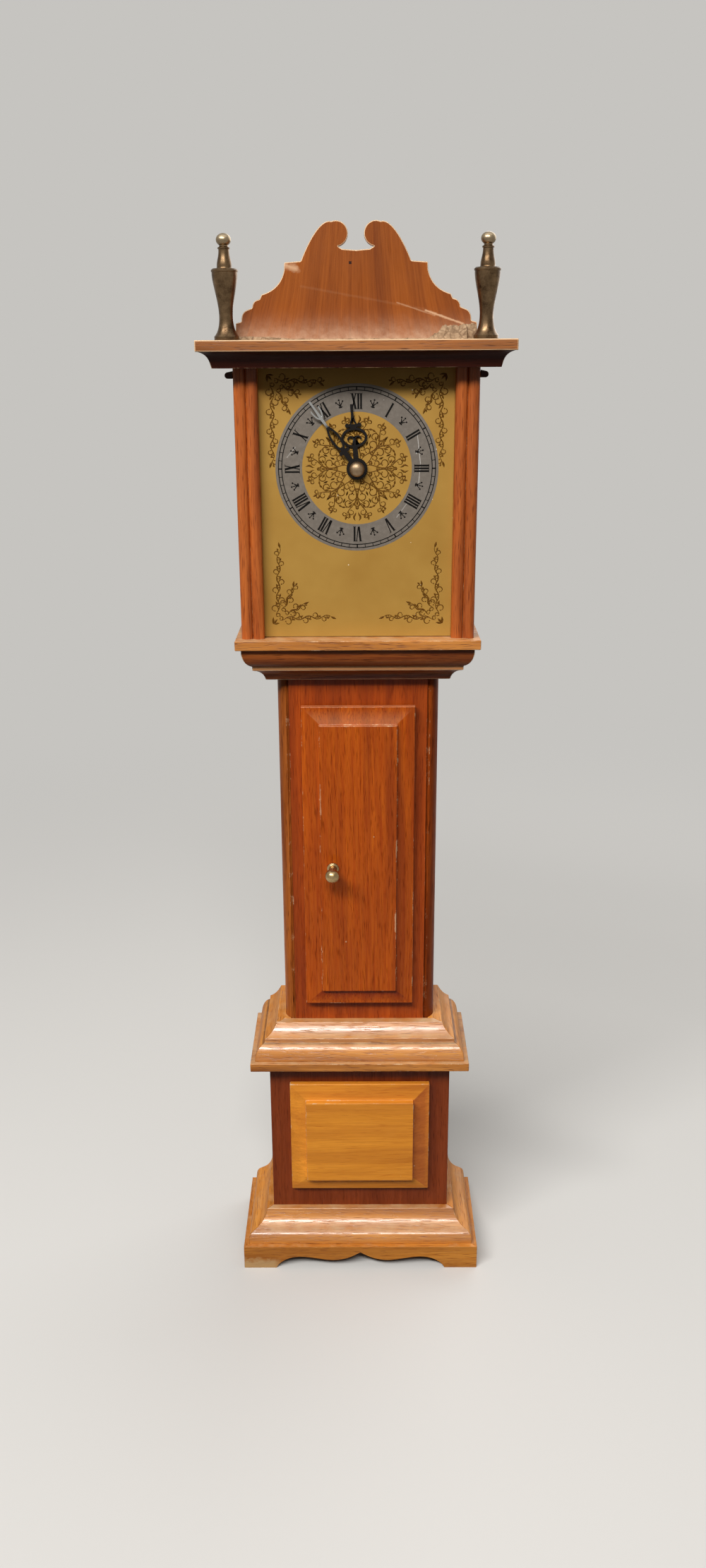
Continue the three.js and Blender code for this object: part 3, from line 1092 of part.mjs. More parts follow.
/** Half of the loop's outline, drawn in by an inset, from the stem to the point. */
function loopHalfOutline(inset) {
  const path = new THREE.Path();
  path.moveTo(0, MINUTE_LOOP_START + 1.2 * inset);
  path.quadraticCurveTo(loopHalf - inset, MINUTE_LOOP_START + inset, loopHalf - inset, loopWidest);
  path.quadraticCurveTo(loopHalf - inset, loopWidest + 0.5 * (MINUTE_LOOP_END - loopWidest),
    0, MINUTE_LOOP_END - 2.4 * inset);
  return path.getPoints(CURVE_STEPS);
}

const loopShape = mirroredShape(loopHalfOutline(0));
loopShape.holes.push(new THREE.Path(mirroredShape(loopHalfOutline(SCROLL_BAND)).getPoints()));
const tipHalf = 0.42 * stemHalf;
const minuteShapes = [
  ringShape(MINUTE_HUB_DIAMETER / 2, minuteHubBore),
  handShape([[0, minuteHubBore + HUB_LAP], [stemHalf, minuteHubBore + 2 * HUB_LAP],
    [stemHalf, MINUTE_LOOP_START + 0.6 * SCROLL_BAND], [0, MINUTE_LOOP_START + 0.6 * SCROLL_BAND]]),
  loopShape,
  handShape([[0, MINUTE_LOOP_END - 2 * SCROLL_BAND], [tipHalf, MINUTE_LOOP_END - 2 * SCROLL_BAND],
    [1.5 * tipHalf, MINUTE_BARB_START], [tipHalf, MINUTE_BARB_END],
    [tipHalf, MINUTE_HAND_LENGTH - tipHalf], [0, MINUTE_HAND_LENGTH]]),
];
for (const side of [-1, 1]) {
  minuteShapes.push(lobe(side * 0.75 * loopHalf, MINUTE_LOOP_START - lobeRadius, lobeRadius));
  const barb = new THREE.QuadraticBezierCurve(new THREE.Vector2(0, MINUTE_BARB_START - tipHalf),
    new THREE.Vector2(side * 0.8 * loopHalf, MINUTE_BARB_START + tipHalf),
    new THREE.Vector2(side * 0.85 * loopHalf, MINUTE_BARB_END));
  minuteShapes.push(ribbon(barb.getPoints(CURVE_STEPS), 0.6 * SCROLL_BAND));
}
add('minute_hand', hand(minuteShapes, minuteHandY, MINUTE_HAND_ANGLE), 'blackSteel');

// Domed nut on the arbor's thread
const nutRadius = NUT_DIAMETER / 2;
const nutProfile = [
  new THREE.Vector2(0, 0), new THREE.Vector2(nutRadius, 0), new THREE.Vector2(nutRadius, NUT_SKIRT),
  ...arcPoints(0, NUT_SKIRT, nutRadius, NUT_HEIGHT - NUT_SKIRT, 12, 78, 5),
  new THREE.Vector2(0, NUT_HEIGHT),
];
const nutDome = new THREE.LatheGeometry(nutProfile, FINE_STEPS).rotateX(Math.PI)
  .translate(0, minuteHandY - NUT_SEAT_GAP, dialZ);
const nutThread = barAlongY(socketDiameter, arborFrontY - NUT_SEAT_GAP, minuteHandY + OVERRUN, 0, dialZ);
add('hand_nut', cut(nutDome, nutThread), 'brass');

export default clock;
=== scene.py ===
"""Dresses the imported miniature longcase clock: stained wood, aged brass, printed dial, hands and movement."""

import logging
import math
from dataclasses import dataclass, field
from enum import Enum
from typing import Iterable, Optional, Sequence, Union

import bpy
from mathutils import Matrix, Vector, noise


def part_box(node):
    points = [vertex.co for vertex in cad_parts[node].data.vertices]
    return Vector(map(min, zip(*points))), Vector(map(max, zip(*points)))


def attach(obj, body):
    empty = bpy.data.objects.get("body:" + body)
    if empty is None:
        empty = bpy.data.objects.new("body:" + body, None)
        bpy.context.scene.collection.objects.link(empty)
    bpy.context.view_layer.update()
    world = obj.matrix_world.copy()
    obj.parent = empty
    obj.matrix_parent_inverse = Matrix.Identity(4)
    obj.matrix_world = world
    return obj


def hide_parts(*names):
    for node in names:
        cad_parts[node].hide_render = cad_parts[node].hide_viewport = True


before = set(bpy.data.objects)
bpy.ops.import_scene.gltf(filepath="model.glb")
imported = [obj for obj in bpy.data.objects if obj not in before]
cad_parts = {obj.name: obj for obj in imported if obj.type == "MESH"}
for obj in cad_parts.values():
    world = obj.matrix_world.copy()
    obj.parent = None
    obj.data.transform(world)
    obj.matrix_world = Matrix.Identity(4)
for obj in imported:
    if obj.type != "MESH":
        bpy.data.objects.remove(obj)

LOG = logging.getLogger("clock")
MM = 0.001
CASE = "case"
DOOR = "door"
MINUTE = "minute"
HOUR = "hour"
SETTING = "setting"
ARRIS = "arris"
SEED = "seed"

Colour = tuple[float, float, float, float]
Point = tuple[float, float]
Way = tuple[float, float, float]
Mark = tuple[float, float, float, float, float, float]
HeightLine = tuple[float, float, str]
Stroke = tuple[float, float, float, float, float]
Piece = bpy.types.Object
Tree = bpy.types.NodeTree
Node = bpy.types.Node
Socket = bpy.types.NodeSocket
Value = Union[float, Sequence[float], Socket]
Sockets = dict[str, Value]


def linear(code: str) -> Colour:
    """Turns a screen colour into the colour that a shader takes.

    Args:
        code: Six hexadecimal digits, red first.

    Returns:
        The linear colour with full opacity.
    """
    channels = [int(code[i : i + 2], 16) / 255 for i in (0, 2, 4)]
    red, green, blue = [c / 12.92 if c <= 0.04045 else ((c + 0.055) / 1.055) ** 2.4 for c in channels]
    return red, green, blue, 1.0


def pair(name: str) -> list[str]:
    """Gives the names of a left and a right piece."""
    return [f"{name}_left", f"{name}_right"]


def curve_points(*handles: Point, steps: int = 10) -> list[Point]:
    """Follows a quadratic or cubic curve.

    Args:
        handles: Three or four control points.
        steps: How many points follow the first one.

    Returns:
        The points after the first handle, the last one included.
    """
    order = len(handles) - 1
    made = []
    for i in range(1, steps + 1):
        t = i / steps
        weights = [math.comb(order, k) * (1 - t) ** (order - k) * t**k for k in range(order + 1)]
        made.append(tuple(sum(w * h[axis] for w, h in zip(weights, handles)) for axis in (0, 1)))
    return made


def arc_points(middle: Point, across: float, up: float, first: float, last: float, steps: int) -> list[Point]:
    """Follows an arc of an ellipse.

    Args:
        middle: Centre of the ellipse.
        across: Half of its width.
        up: Half of its height.
        first: Angle of the first point in degrees.
        last: Angle of the last point in degrees.
        steps: Number of steps between them.

    Returns:
        The points of the arc, both ends included.
    """
    angles = [math.radians(first + (last - first) * i / steps) for i in range(steps + 1)]
    return [(middle[0] + across * math.cos(a), middle[1] + up * math.sin(a)) for a in angles]


class Grain(Enum):
    """The way the grain of a board runs."""

    UPRIGHT = (0.0, 0.0, 0.0)
    ACROSS = (0.0, math.pi / 2, 0.0)
    DEEP = (math.pi / 2, 0.0, 0.0)


class Facing(Enum):
    """The way the axis of a turned piece points."""

    UP = (0.0, 0.0, 0.0)
    FRONT = (math.pi / 2, 0.0, 0.0)
    BACK = (-math.pi / 2, 0.0, 0.0)


def seat(node: str, facing: Facing) -> Vector:
    """Finds where a turned piece stands.

    Args:
        node: The CAD node that the piece stands for.
        facing: The way its axis points.

    Returns:
        The middle of the node's foot, in metres.
    """
    low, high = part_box(node)
    middle = (low + high) / 2
    if facing is Facing.UP:
        return Vector((middle.x, middle.y, low.z))
    return Vector((middle.x, high.y, middle.z))


class Graph:
    """A shader tree with short ways to place and join its nodes."""

    def __init__(self, tree: Tree) -> None:
        """Keeps the tree that the nodes go into."""
        self.tree = tree

    def node(self, kind: str, **settings: object) -> Node:
        """Places one node.

        Args:
            kind: The node's type name.
            settings: Properties to set on it.

        Returns:
            The new node.
        """
        made = self.tree.nodes.new(kind)
        for name, value in settings.items():
            setattr(made, name, value)
        return made

    def feed(self, socket: Socket, value: Value) -> None:
        """Joins an output to a socket, or sets the socket's own value.

        Args:
            socket: The socket.
            value: The output, or the value.
        """
        if isinstance(value, Socket):
            self.tree.links.new(value, socket)
        else:
            socket.default_value = value

    def fill(self, node: Node, values: Sockets) -> Node:
        """Feeds several inputs of a node.

        Args:
            node: The node.
            values: What goes into each input, by the input's name.

        Returns:
            The node.
        """
        for name, value in values.items():
            self.feed(node.inputs[name], value)
        return node

    def group(self, tree: Tree, values: Sockets) -> Node:
        """Places a shared group and feeds its inputs by name."""
        return self.fill(self.node("ShaderNodeGroup", node_tree=tree), values)

    def math(self, operation: str, first: Value, second: Value = 0.0, clamp: bool = False) -> Socket:
        """Works out one sum.

        Args:
            operation: The Math node's operation.
            first: First number.
            second: Second number.
            clamp: Whether the result stays between 0 and 1.

        Returns:
            The result.
        """
        made = self.node("ShaderNodeMath", operation=operation, use_clamp=clamp)
        self.feed(made.inputs[0], first)
        self.feed(made.inputs[1], second)
        return made.outputs[0]

    def times(self, first: Value, second: Value, clamp: bool = False) -> Socket:
        """Multiplies two numbers."""
        return self.math("MULTIPLY", first, second, clamp)

    def plus(self, first: Value, second: Value) -> Socket:
        """Adds two numbers."""
        return self.math("ADD", first, second)

    def minus(self, first: Value, second: Value, clamp: bool = False) -> Socket:
        """Takes the second number from the first."""
        return self.math("SUBTRACT", first, second, clamp)

    def lift(self, base: Value, value: Value, share: float, clamp: bool = False) -> Socket:
        """Adds a share of a number to a base."""
        return self.math("ADD", base, self.times(value, share), clamp)

    def blend(self, first: Value, second: Value, share: float) -> Socket:
        """Weighs two numbers, with the share of the first."""
        return self.plus(self.times(first, share), self.times(second, 1 - share))

    def vector(self, operation: str, first: Value, second: Value = (0, 0, 0), result: int = 0) -> Socket:
        """Works out one sum of vectors.

        Args:
            operation: The Vector Math node's operation.
            first: First vector.
            second: Second vector.
            result: Index of the output, 0 for a vector and 1 for a number.

        Returns:
            The result.
        """
        made = self.node("ShaderNodeVectorMath", operation=operation)
        self.feed(made.inputs[0], first)
        self.feed(made.inputs[1], second)
        return made.outputs[result]

    def scaled(self, vector: Value, scale: Sequence[float]) -> Socket:
        """Stretches a vector."""
        return self.vector("MULTIPLY", vector, scale)

    def axes(self, vector: Value) -> list[Socket]:
        """Takes a vector apart into its three numbers."""
        return list(self.fill(self.node("ShaderNodeSeparateXYZ"), {"Vector": vector}).outputs)

    def joined(self, numbers: Iterable[Value]) -> Socket:
        """Puts numbers together to a vector.

        Args:
            numbers: Up to three numbers.

        Returns:
            The vector, with 0 for a number that isn't given.
        """
        made = self.node("ShaderNodeCombineXYZ")
        for socket, value in zip(made.inputs, numbers):
            self.feed(socket, value)
        return made.outputs[0]

    def coordinate(self, kind: str = "Object") -> Socket:
        """Gives a piece's own coordinates or normal."""
        return self.node("ShaderNodeTexCoord").outputs[kind]

    def attribute(self, name: str) -> Socket:
        """Gives a number that the piece's faces carry."""
        return self.node("ShaderNodeAttribute", attribute_name=name).outputs["Fac"]

    def mix(self, factor: Value, first: Value, second: Value, blend: str = "MIX") -> Socket:
        """Blends two colours.

        Args:
            factor: Share of the second colour.
            first: First colour.
            second: Second colour.
            blend: The Mix node's blend type.

        Returns:
            The blended colour.
        """
        made = self.node("ShaderNodeMix", data_type="RGBA", blend_type=blend)
        self.feed(made.inputs[0], factor)
        self.feed(made.inputs[6], first)
        self.feed(made.inputs[7], second)
        return made.outputs[2]

    def tint(self, colour: Value, mask: Socket, tone: str, share: Optional[float] = None) -> Socket:
        """Lays a tone over a colour.

        Args:
            colour: The colour so far.
            mask: Where the tone shows.
            tone: The tone as a screen colour.
            share: How much of it shows there, all of it if not given.

        Returns:
            The new colour.
        """
        factor = mask if share is None else self.times(mask, share)
        return self.mix(factor, colour, linear(tone))

    def span(self, value: Value, low: float, high: float, ease: str = "LINEAR") -> Socket:
        """Spreads the numbers from low to high over 0 to 1.

        Args:
            value: The number.
            low: Where the result is 0.
            high: Where the result is 1.
            ease: The Map Range node's interpolation.

        Returns:
            The share from 0 to 1.
        """
        made = self.node("ShaderNodeMapRange", interpolation_type=ease)
        for socket, given in zip(made.inputs, (value, low, high)):
            self.feed(socket, given)
        return made.outputs[0]

    def noise(
        self,
        vector: Value,
        scale: float,
        detail: float = 2.0,
        rough: float = 0.5,
        seed: Optional[Value] = None,
    ) -> Socket:
        """Places a noise.

        Args:
            vector: Where it is read.
            scale: Grains per metre.
            detail: Number of finer layers.
            rough: Strength of the finer layers.
            seed: A number that shifts the pattern.

        Returns:
            The noise from 0 to 1.
        """
        made = self.node("ShaderNodeTexNoise", noise_dimensions="3D" if seed is None else "4D")
        self.fill(made, {"Vector": vector, "Scale": scale, "Detail": detail, "Roughness": rough})
        if seed is not None:
            self.feed(made.inputs["W"], seed)
        return made.outputs[0]

    def seen(self) -> Socket:
        """Tells rays that are looked along, also in a reflection, from rays that only carry light.

        Returns:
            1 for a ray that is looked along, else 0.
        """
        ray = self.node("ShaderNodeLightPath")
        shown = self.math("MAXIMUM", ray.outputs["Is Camera Ray"], ray.outputs["Is Glossy Ray"])
        return self.math("MAXIMUM", shown, ray.outputs["Is Transmission Ray"])

    def bump(self, height: Value, depth: float, strength: float) -> Socket:
        """Turns a height into a normal; the depth of its relief is in millimetres."""
        made = self.node("ShaderNodeBump")
        return self.fill(made, {"Height": height, "Distance": depth * MM, "Strength": strength}).outputs[0]


class EffectGroups:
    """Shader groups that several finishes share, each built once."""

    def __init__(self) -> None:
        """Builds every group."""
        self.grain = self._grain()
        self.wear = self._wear()
        self.dust = self._dust()
        self.specks = self._specks()
        self.scratch = self._scratch()

    @staticmethod
    def _start(
        name: str, inputs: dict[str, str], outputs: dict[str, str]
    ) -> tuple[Graph, dict[str, Socket], Node]:
        """Opens a new group.

        Args:
            name: The group's name.
            inputs: Socket kind of each input by name.
            outputs: Socket kind of each output by name.

        Returns:
            The graph, the group's inputs by name, and its output node.
        """
        tree = bpy.data.node_groups.new(name, "ShaderNodeTree")
        for way, sockets in (("INPUT", inputs), ("OUTPUT", outputs)):
            for label, kind in sockets.items():
                tree.interface.new_socket(name=label, in_out=way, socket_type=f"NodeSocket{kind}")
        graph = Graph(tree)
        source = graph.node("NodeGroupInput")
        sink = graph.node("NodeGroupOutput")
        return graph, {s.name: s for s in source.outputs if s.name}, sink

    def _grain(self) -> Tree:
        """Builds wood grain that runs along the vector's Z, with bands, streaks and pores.

        Returns:
            The group.
        """
        colours = {label: "Color" for label in ("Dark", "Middle", "Light")}
        numbers = {label: "Float" for label in ("Seed", "Figure", "Pores")}
        graph, given, sink = self._start(
            "wood_grain", {"Vector": "Vector", **colours, **numbers}, {"Color": "Color", "Height": "Float"}
        )
        seed = given["Seed"]
        wander = graph.noise(graph.scaled(given["Vector"], (1, 1, 0.2)), scale=26, seed=seed)
        drift = graph.times(graph.minus(wander, 0.5), 0.012)
        bent = graph.vector("ADD", given["Vector"], graph.joined((drift, drift)))
        long, longer = (graph.scaled(bent, (1, 1, stretch)) for stretch in (0.05, 0.025))
        bands = graph.span(graph.noise(long, scale=150, detail=4, rough=0.6, seed=seed), 0.36, 0.6)
        streaks = graph.span(graph.noise(longer, scale=1100, detail=3, rough=0.6, seed=seed), 0.3, 0.7)
        pores = graph.span(graph.noise(long, scale=3200, detail=1, seed=seed), 0.56, 0.7)
        shade = graph.minus(1.0, graph.times(given["Figure"], graph.minus(1.0, bands)))
        fine = graph.mix(streaks, given["Middle"], given["Light"])
        broad = graph.mix(shade, given["Dark"], fine)
        deep = graph.times(pores, given["Pores"])
        pore_colour = graph.mix(0.7, broad, given["Dark"], "MULTIPLY")
        height = graph.minus(graph.times(streaks, 0.3), deep)
        graph.fill(sink, {"Color": graph.mix(deep, broad, pore_colour), "Height": height})
        return graph.tree

    def _wear(self) -> Tree:
        """Builds rubbed arrises: the arris mask broken up by noise.

        Returns:
            The group.
        """
        graph, given, sink = self._start(
            "rubbed_arris",
            {"Vector": "Vector", "Arris": "Float", "Amount": "Float", "Color": "Color", "Worn": "Color"},
            {"Color": "Color", "Mask": "Float"},
        )
        patches = graph.noise(given["Vector"], scale=160, detail=3, rough=0.6)
        fine = graph.noise(given["Vector"], scale=1400, detail=2, rough=0.6)
        reach = graph.plus(graph.blend(patches, fine, 0.7), graph.minus(given["Amount"], 0.5))
        mask = graph.times(graph.span(reach, 0.46, 0.6), given["Arris"], clamp=True)
        graph.fill(sink, {"Color": graph.mix(mask, given["Color"], given["Worn"]), "Mask": mask})
        return graph.tree

    def _dust(self) -> Tree:
        """Builds dust that settles on faces that look up.

        Returns:
            The group.
        """
        graph, given, sink = self._start(
            "settled_dust",
            {"Vector": "Vector", "Amount": "Float", "Color": "Color", "Dust": "Color"},
            {"Color": "Color", "Mask": "Float"},
        )
        up = graph.span(graph.axes(graph.node("ShaderNodeNewGeometry").outputs["Normal"])[2], 0.55, 0.98)
        patches = graph.noise(given["Vector"], scale=120, detail=4, rough=0.65)
        cover = graph.span(graph.plus(patches, graph.minus(given["Amount"], 0.5)), 0.3, 0.75)
        mask = graph.times(graph.times(up, cover), 0.8, clamp=True)
        graph.fill(sink, {"Color": graph.mix(mask, given["Color"], given["Dust"]), "Mask": mask})
        return graph.tree

    def _specks(self) -> Tree:
        """Builds a few tiny specks, scattered at random.

        Returns:
            The group.
        """
        graph, given, sink = self._start(
            "loose_specks",
            {"Vector": "Vector", "Scale": "Float", "Size": "Float", "Share": "Float"},
            {"Mask": "Float"},
        )
        cells = graph.node("ShaderNodeTexVoronoi", feature="F1")
        graph.fill(cells, {"Vector": given["Vector"], "Scale": given["Scale"]})
        chance = graph.node("ShaderNodeSeparateColor")
        graph.feed(chance.inputs[0], cells.outputs["Color"])
        chosen = graph.math("LESS_THAN", chance.outputs[0], given["Share"])
        near = graph.math("LESS_THAN", cells.outputs["Distance"], given["Size"])
        graph.feed(sink.inputs["Mask"], graph.times(chosen, near))
        return graph.tree

    def _scratch(self) -> Tree:
        """Builds one straight scratch between two points, ragged at its edges.

        Returns:
            The group.
        """
        graph, given, sink = self._start(
            "long_scratch",
            {"Vector": "Vector", "Start": "Vector", "End": "Vector", "Width": "Float"},
            {"Mask": "Float"},
        )
        along = graph.vector("SUBTRACT", given["End"], given["Start"])
        away = graph.vector("SUBTRACT", given["Vector"], given["Start"])
        length = graph.vector("DOT_PRODUCT", along, along, 1)
        share = graph.math("DIVIDE", graph.vector("DOT_PRODUCT", away, along, 1), length, True)
        scale = graph.node("ShaderNodeVectorMath", operation="SCALE")
        graph.feed(scale.inputs[0], along)
        graph.feed(scale.inputs["Scale"], share)
        gap = graph.vector("DISTANCE", away, scale.outputs[0], 1)
        ragged = graph.times(given["Width"], graph.noise(given["Vector"], scale=500, detail=3, rough=0.7))
        graph.feed(sink.inputs["Mask"], graph.minus(1.0, graph.math("DIVIDE", gap, ragged), clamp=True))
        return graph.tree

    def specked(self, graph: Graph, place: Socket, scale: float, size: float, share: float) -> Socket:
        """Scatters specks over a material.

        Args:
            graph: The material's graph.
            place: Object coordinates.
            scale: Cells per metre, each of which may hold a speck.
            size: Radius of a speck as a share of its cell.
            share: Share of the cells that hold one.

        Returns:
            The mask of the specks.
        """
        values = {"Vector": place, "Scale": scale, "Size": size, "Share": share}
        return graph.group(self.specks, values).outputs[0]

    def scratched(
        self, graph: Graph, place: Socket, colour: Socket, marks: Sequence[Mark], face: float, tone: str
    ) -> Socket:
        """Draws scratches and chips into a colour.

        Args:
            graph: The material's graph.
            place: Object coordinates.
            colour: The colour so far.
            marks: Start and end across and up, width and strength of each mark, lengths in millimetres.
            face: Depth of the face that they lie on, in millimetres.
            tone: Colour of the marks.

        Returns:
            The colour with its marks.
        """
        for x0, z0, x1, z1, wide, strength in marks:
            ends = {"Start": Vector((x0, face, z0)) * MM, "End": Vector((x1, face, z1)) * MM}
            mark = graph.group(self.scratch, {"Vector": place, **ends, "Width": wide * MM})
            colour = graph.tint(colour, mark.outputs[0], tone, strength)
        return colour


class Finish:
    """Something that a piece can be finished with."""

    name: str
    slot: Optional[str]

    def paint(self, graph: Graph, effects: EffectGroups) -> Sockets:
        """Builds the finish into a material; each finish does this its own way."""
        raise NotImplementedError


@dataclass
class Skin:
    """A wood's surface on its way to the shader."""

    place: Socket
    colour: Socket
    height: Socket
    rubbed: Socket


@dataclass(frozen=True)
class Wood(Finish):
    """Stained and waxed wood, with lengths in millimetres."""

    name: str
    slot: str
    dark: str
    middle: str
    light: str
    grain: Grain
    worn: str = "d9b48c"
    wear: float = 0.42
    dust: float = 0.0
    dust_tone: str = "cbac82"
    figure: float = 0.5
    pores: float = 0.6
    roughness: float = 0.42
    coat: float = 0.12
    gloss: float = 0.28
    coat_roughness: float = 0.17
    nicks: float = 0.03
    cloud: float = 0.4
    cloud_stain: Colour = (0.66, 0.58, 0.5, 1.0)
    # Lines at set heights: painted shadow lines in the creases under a fillet and under an overhang, and one
    # pale line.
    lines_and_painted_shadows: tuple[HeightLine, ...] = ()
    relief: float = 0.06
    # Darkens the bevels that lean one way: painted shade, with stain as well on a door's lower bevel.
    stain_and_shade_lean: Optional[Way] = None
    stain_and_shade_tint: Colour = (0.7, 0.5, 0.75, 1.0)
    # Pales the bevels that look up: dust and a painted sheen.
    dust_and_sheen: float = 0.0
    dust_and_sheen_tone: str = "dcb88e"
    bevel: Point = (0.06, 0.15)
    face: float = 0.0
    scratches: tuple[Mark, ...] = ()
    scratch_tone: str = "dcb088"

    def lie(self, graph: Graph, place: Socket) -> Socket:
        """Gives the coordinates that the grain follows, which here are straight."""
        return place

    def mark(self, graph: Graph, skin: Skin) -> None:
        """Adds marks of its own to the surface, of which plain wood has none."""

    def grained(self, graph: Graph, place: Socket, effects: EffectGroups) -> tuple[Socket, Socket]:
        """Lays out the stained grain and its clouds.

        Args:
            graph: The material's graph.
            place: Object coordinates.
            effects: The shared groups.

        Returns:
            The colour and the height of the grain.
        """
        mapping = graph.node("ShaderNodeMapping")
        graph.fill(mapping, {"Vector": self.lie(graph, place), "Rotation": self.grain.value})
        turned = mapping.outputs[0]
        seed = graph.attribute(SEED)
        tones = {"Dark": linear(self.dark), "Middle": linear(self.middle), "Light": linear(self.light)}
        amounts = {"Figure": self.figure, "Pores": self.pores}
        figure = graph.group(effects.grain, {"Vector": turned, "Seed": seed, **tones, **amounts})
        stained = figure.outputs["Color"]
        cloud = graph.span(graph.noise(graph.scaled(turned, (1, 1, 0.4)), scale=42, seed=seed), 0.35, 0.7)
        deeper = graph.mix(1.0, stained, self.cloud_stain, "MULTIPLY")
        return graph.mix(graph.times(cloud, self.cloud), stained, deeper), figure.outputs["Height"]

    def aged(self, graph: Graph, place: Socket, colour: Socket) -> Socket:
        """Adds lines at set heights, stain and painted shade on bevels that lean one way, and dust and a
        painted sheen on bevels that look up; the lines are mostly painted shadow lines.

        Args:
            graph: The material's graph.
            place: Object coordinates.
            colour: The colour so far.

        Returns:
            The aged colour.
        """
        # Painted shadow lines, and a pale line, at set heights.
        for height, half, tone in self.lines_and_painted_shadows:
            gap = graph.math("ABSOLUTE", graph.minus(graph.axes(place)[2], height * MM))
            line = graph.minus(1.0, graph.math("DIVIDE", gap, half * MM), clamp=True)
            colour = graph.tint(colour, line, tone, 0.75)
        # Painted shade on the bevels that lean away from the light, with stain on the door's lower bevel.
        if self.stain_and_shade_lean:
            facing = graph.vector("DOT_PRODUCT", graph.coordinate("Normal"), self.stain_and_shade_lean, 1)
            lean = graph.span(facing, *self.bevel)
            colour = graph.mix(lean, colour, self.stain_and_shade_tint, "MULTIPLY")
        # Dust and a painted sheen on bevels that look up.
        if self.dust_and_sheen:
            lean = graph.span(graph.axes(graph.coordinate("Normal"))[2], *self.bevel)
            colour = graph.tint(colour, lean, self.dust_and_sheen_tone, self.dust_and_sheen)
        return colour

    def base(self, graph: Graph, effects: EffectGroups) -> Skin:
        """Lays out the stained grain with its rubbed arrises, nicks and scratches.

        Args:
            graph: The material's graph.
            effects: The shared groups.

        Returns:
            The surface so far.
        """
        place = graph.coordinate()
        colour, height = self.grained(graph, place, effects)
        colour = self.aged(graph, place, colour)
        arris = {"Arris": graph.attribute(ARRIS), "Amount": self.wear, "Worn": linear(self.worn)}
        worn = graph.group(effects.wear, {"Vector": place, "Color": colour, **arris})
        nick = effects.specked(graph, place, scale=170, size=0.055, share=self.nicks)
        colour = graph.tint(worn.outputs["Color"], nick, self.worn, 0.6)
        colour = effects.scratched(graph, place, colour, self.scratches, self.face, self.scratch_tone)
        return Skin(place, colour, graph.lift(height, nick, -1.5), worn.outputs["Mask"])

    def finish(self, graph: Graph, effects: EffectGroups, skin: Skin) -> Sockets:
        """Adds dust and varnish.

        Args:
            graph: The material's graph.
            effects: The shared groups.
            skin: The surface.

        Returns:
            What goes into the shader's inputs.
        """
        colour, bare = skin.colour, skin.rubbed
        if self.dust:
            layer = {"Amount": self.dust, "Dust": linear(self.dust_tone)}
            dusty = graph.group(effects.dust, {"Vector": skin.place, "Color": colour, **layer})
            colour = dusty.outputs["Color"]
            bare = graph.math("MAXIMUM", bare, dusty.outputs["Mask"])
        smear = graph.span(graph.noise(skin.place, scale=90, detail=3, rough=0.6), 0.3, 0.7)
        rough = graph.lift(self.roughness - 0.05, smear, 0.14)
        film = graph.times(graph.minus(1.0, bare, clamp=True), graph.span(skin.height, -0.25, 0.2))
        return {
            "Base Color": colour,
            "Roughness": graph.lift(rough, bare, 0.35, clamp=True),
            "Coat Weight": graph.times(film, self.coat),
            "Coat Roughness": self.coat_roughness,
            "Specular IOR Level": self.gloss,
            "Normal": graph.bump(skin.height, self.relief, 0.7),
        }

    def paint(self, graph: Graph, effects: EffectGroups) -> Sockets:
        """Builds the stained wood and its own marks.

        Args:
            graph: The material's graph.
            effects: The shared groups.

        Returns:
            What goes into the shader's inputs.
        """
        skin = self.base(graph, effects)
        self.mark(graph, skin)
        return self.finish(graph, effects, skin)


@dataclass(frozen=True)
class CrestWood(Wood):
    """The pediment's wood, with the hole of a lost nail and dust along its foot."""

    nail: Point = (-2.0, 411.0)
    nail_half: float = 0.45
    nail_tone: str = "2b1208"
    foot: float = 386.5
    foot_dust: float = 398.0
    foot_tone: str = "d7b596"
    fan: float = 9.0

    def lie(self, graph: Graph, place: Socket) -> Socket:
        """Gives coordinates that fan out downwards, as the board's figure does.

        Args:
            graph: The material's graph.
            place: Object coordinates.

        Returns:
            The fanned coordinates.
        """
        across, deep, up = graph.axes(place)
        spread = graph.lift(1.0, graph.minus(up, self.foot * MM), self.fan)
        return graph.joined((graph.times(across, spread), deep, up))

    def mark(self, graph: Graph, skin: Skin) -> None:
        """Adds the nail hole and the dust along the foot.

        Args:
            graph: The material's graph.
            skin: The surface.
        """
        offset = graph.vector("SUBTRACT", skin.place, (self.nail[0] * MM, 0.0, self.nail[1] * MM))
        across, _, up = graph.axes(graph.vector("ABSOLUTE", offset))
        hole = graph.times(*(graph.math("LESS_THAN", gap, self.nail_half * MM) for gap in (across, up)))
        skin.colour = graph.tint(skin.colour, hole, self.nail_tone)
        skin.height = graph.lift(skin.height, hole, -6.0)
        level = graph.axes(skin.place)[2]
        low = graph.minus(1.0, graph.span(level, self.foot * MM, self.foot_dust * MM))
        patches = graph.noise(skin.place, scale=350, detail=4, rough=0.7)
        dust = graph.times(graph.math("POWER", low, 2.4), patches)
        skin.colour = graph.tint(skin.colour, dust, self.foot_tone)


@dataclass(frozen=True)
class FootWood(Wood):
    """The plinth's wood, bleached at the foot of its left end."""

    bleach_across: Point = (-34.5, -38.0)
    bleach_up: Point = (5.3, 2.9)
    bleach_tone: str = "cfae7c"
    bleach: float = 0.62

    def mark(self, graph: Graph, skin: Skin) -> None:
        """Adds the bleached foot.

        Args:
            graph: The material's graph.
            skin: The surface.
        """
        patches = graph.noise(skin.place, scale=260, detail=4, rough=0.7)
        ragged = graph.times(graph.minus(patches, 0.5), 7.0 * MM)
        across, _, up = graph.axes(skin.place)
        left = graph.span(across, *(edge * MM for edge in self.bleach_across))
        low = graph.span(graph.plus(up, ragged), *(edge * MM for edge in self.bleach_up))
        pale = graph.times(graph.times(left, low), self.bleach)
        skin.colour = graph.tint(skin.colour, pale, self.bleach_tone)
        skin.rubbed = graph.math("MAXIMUM", skin.rubbed, pale)


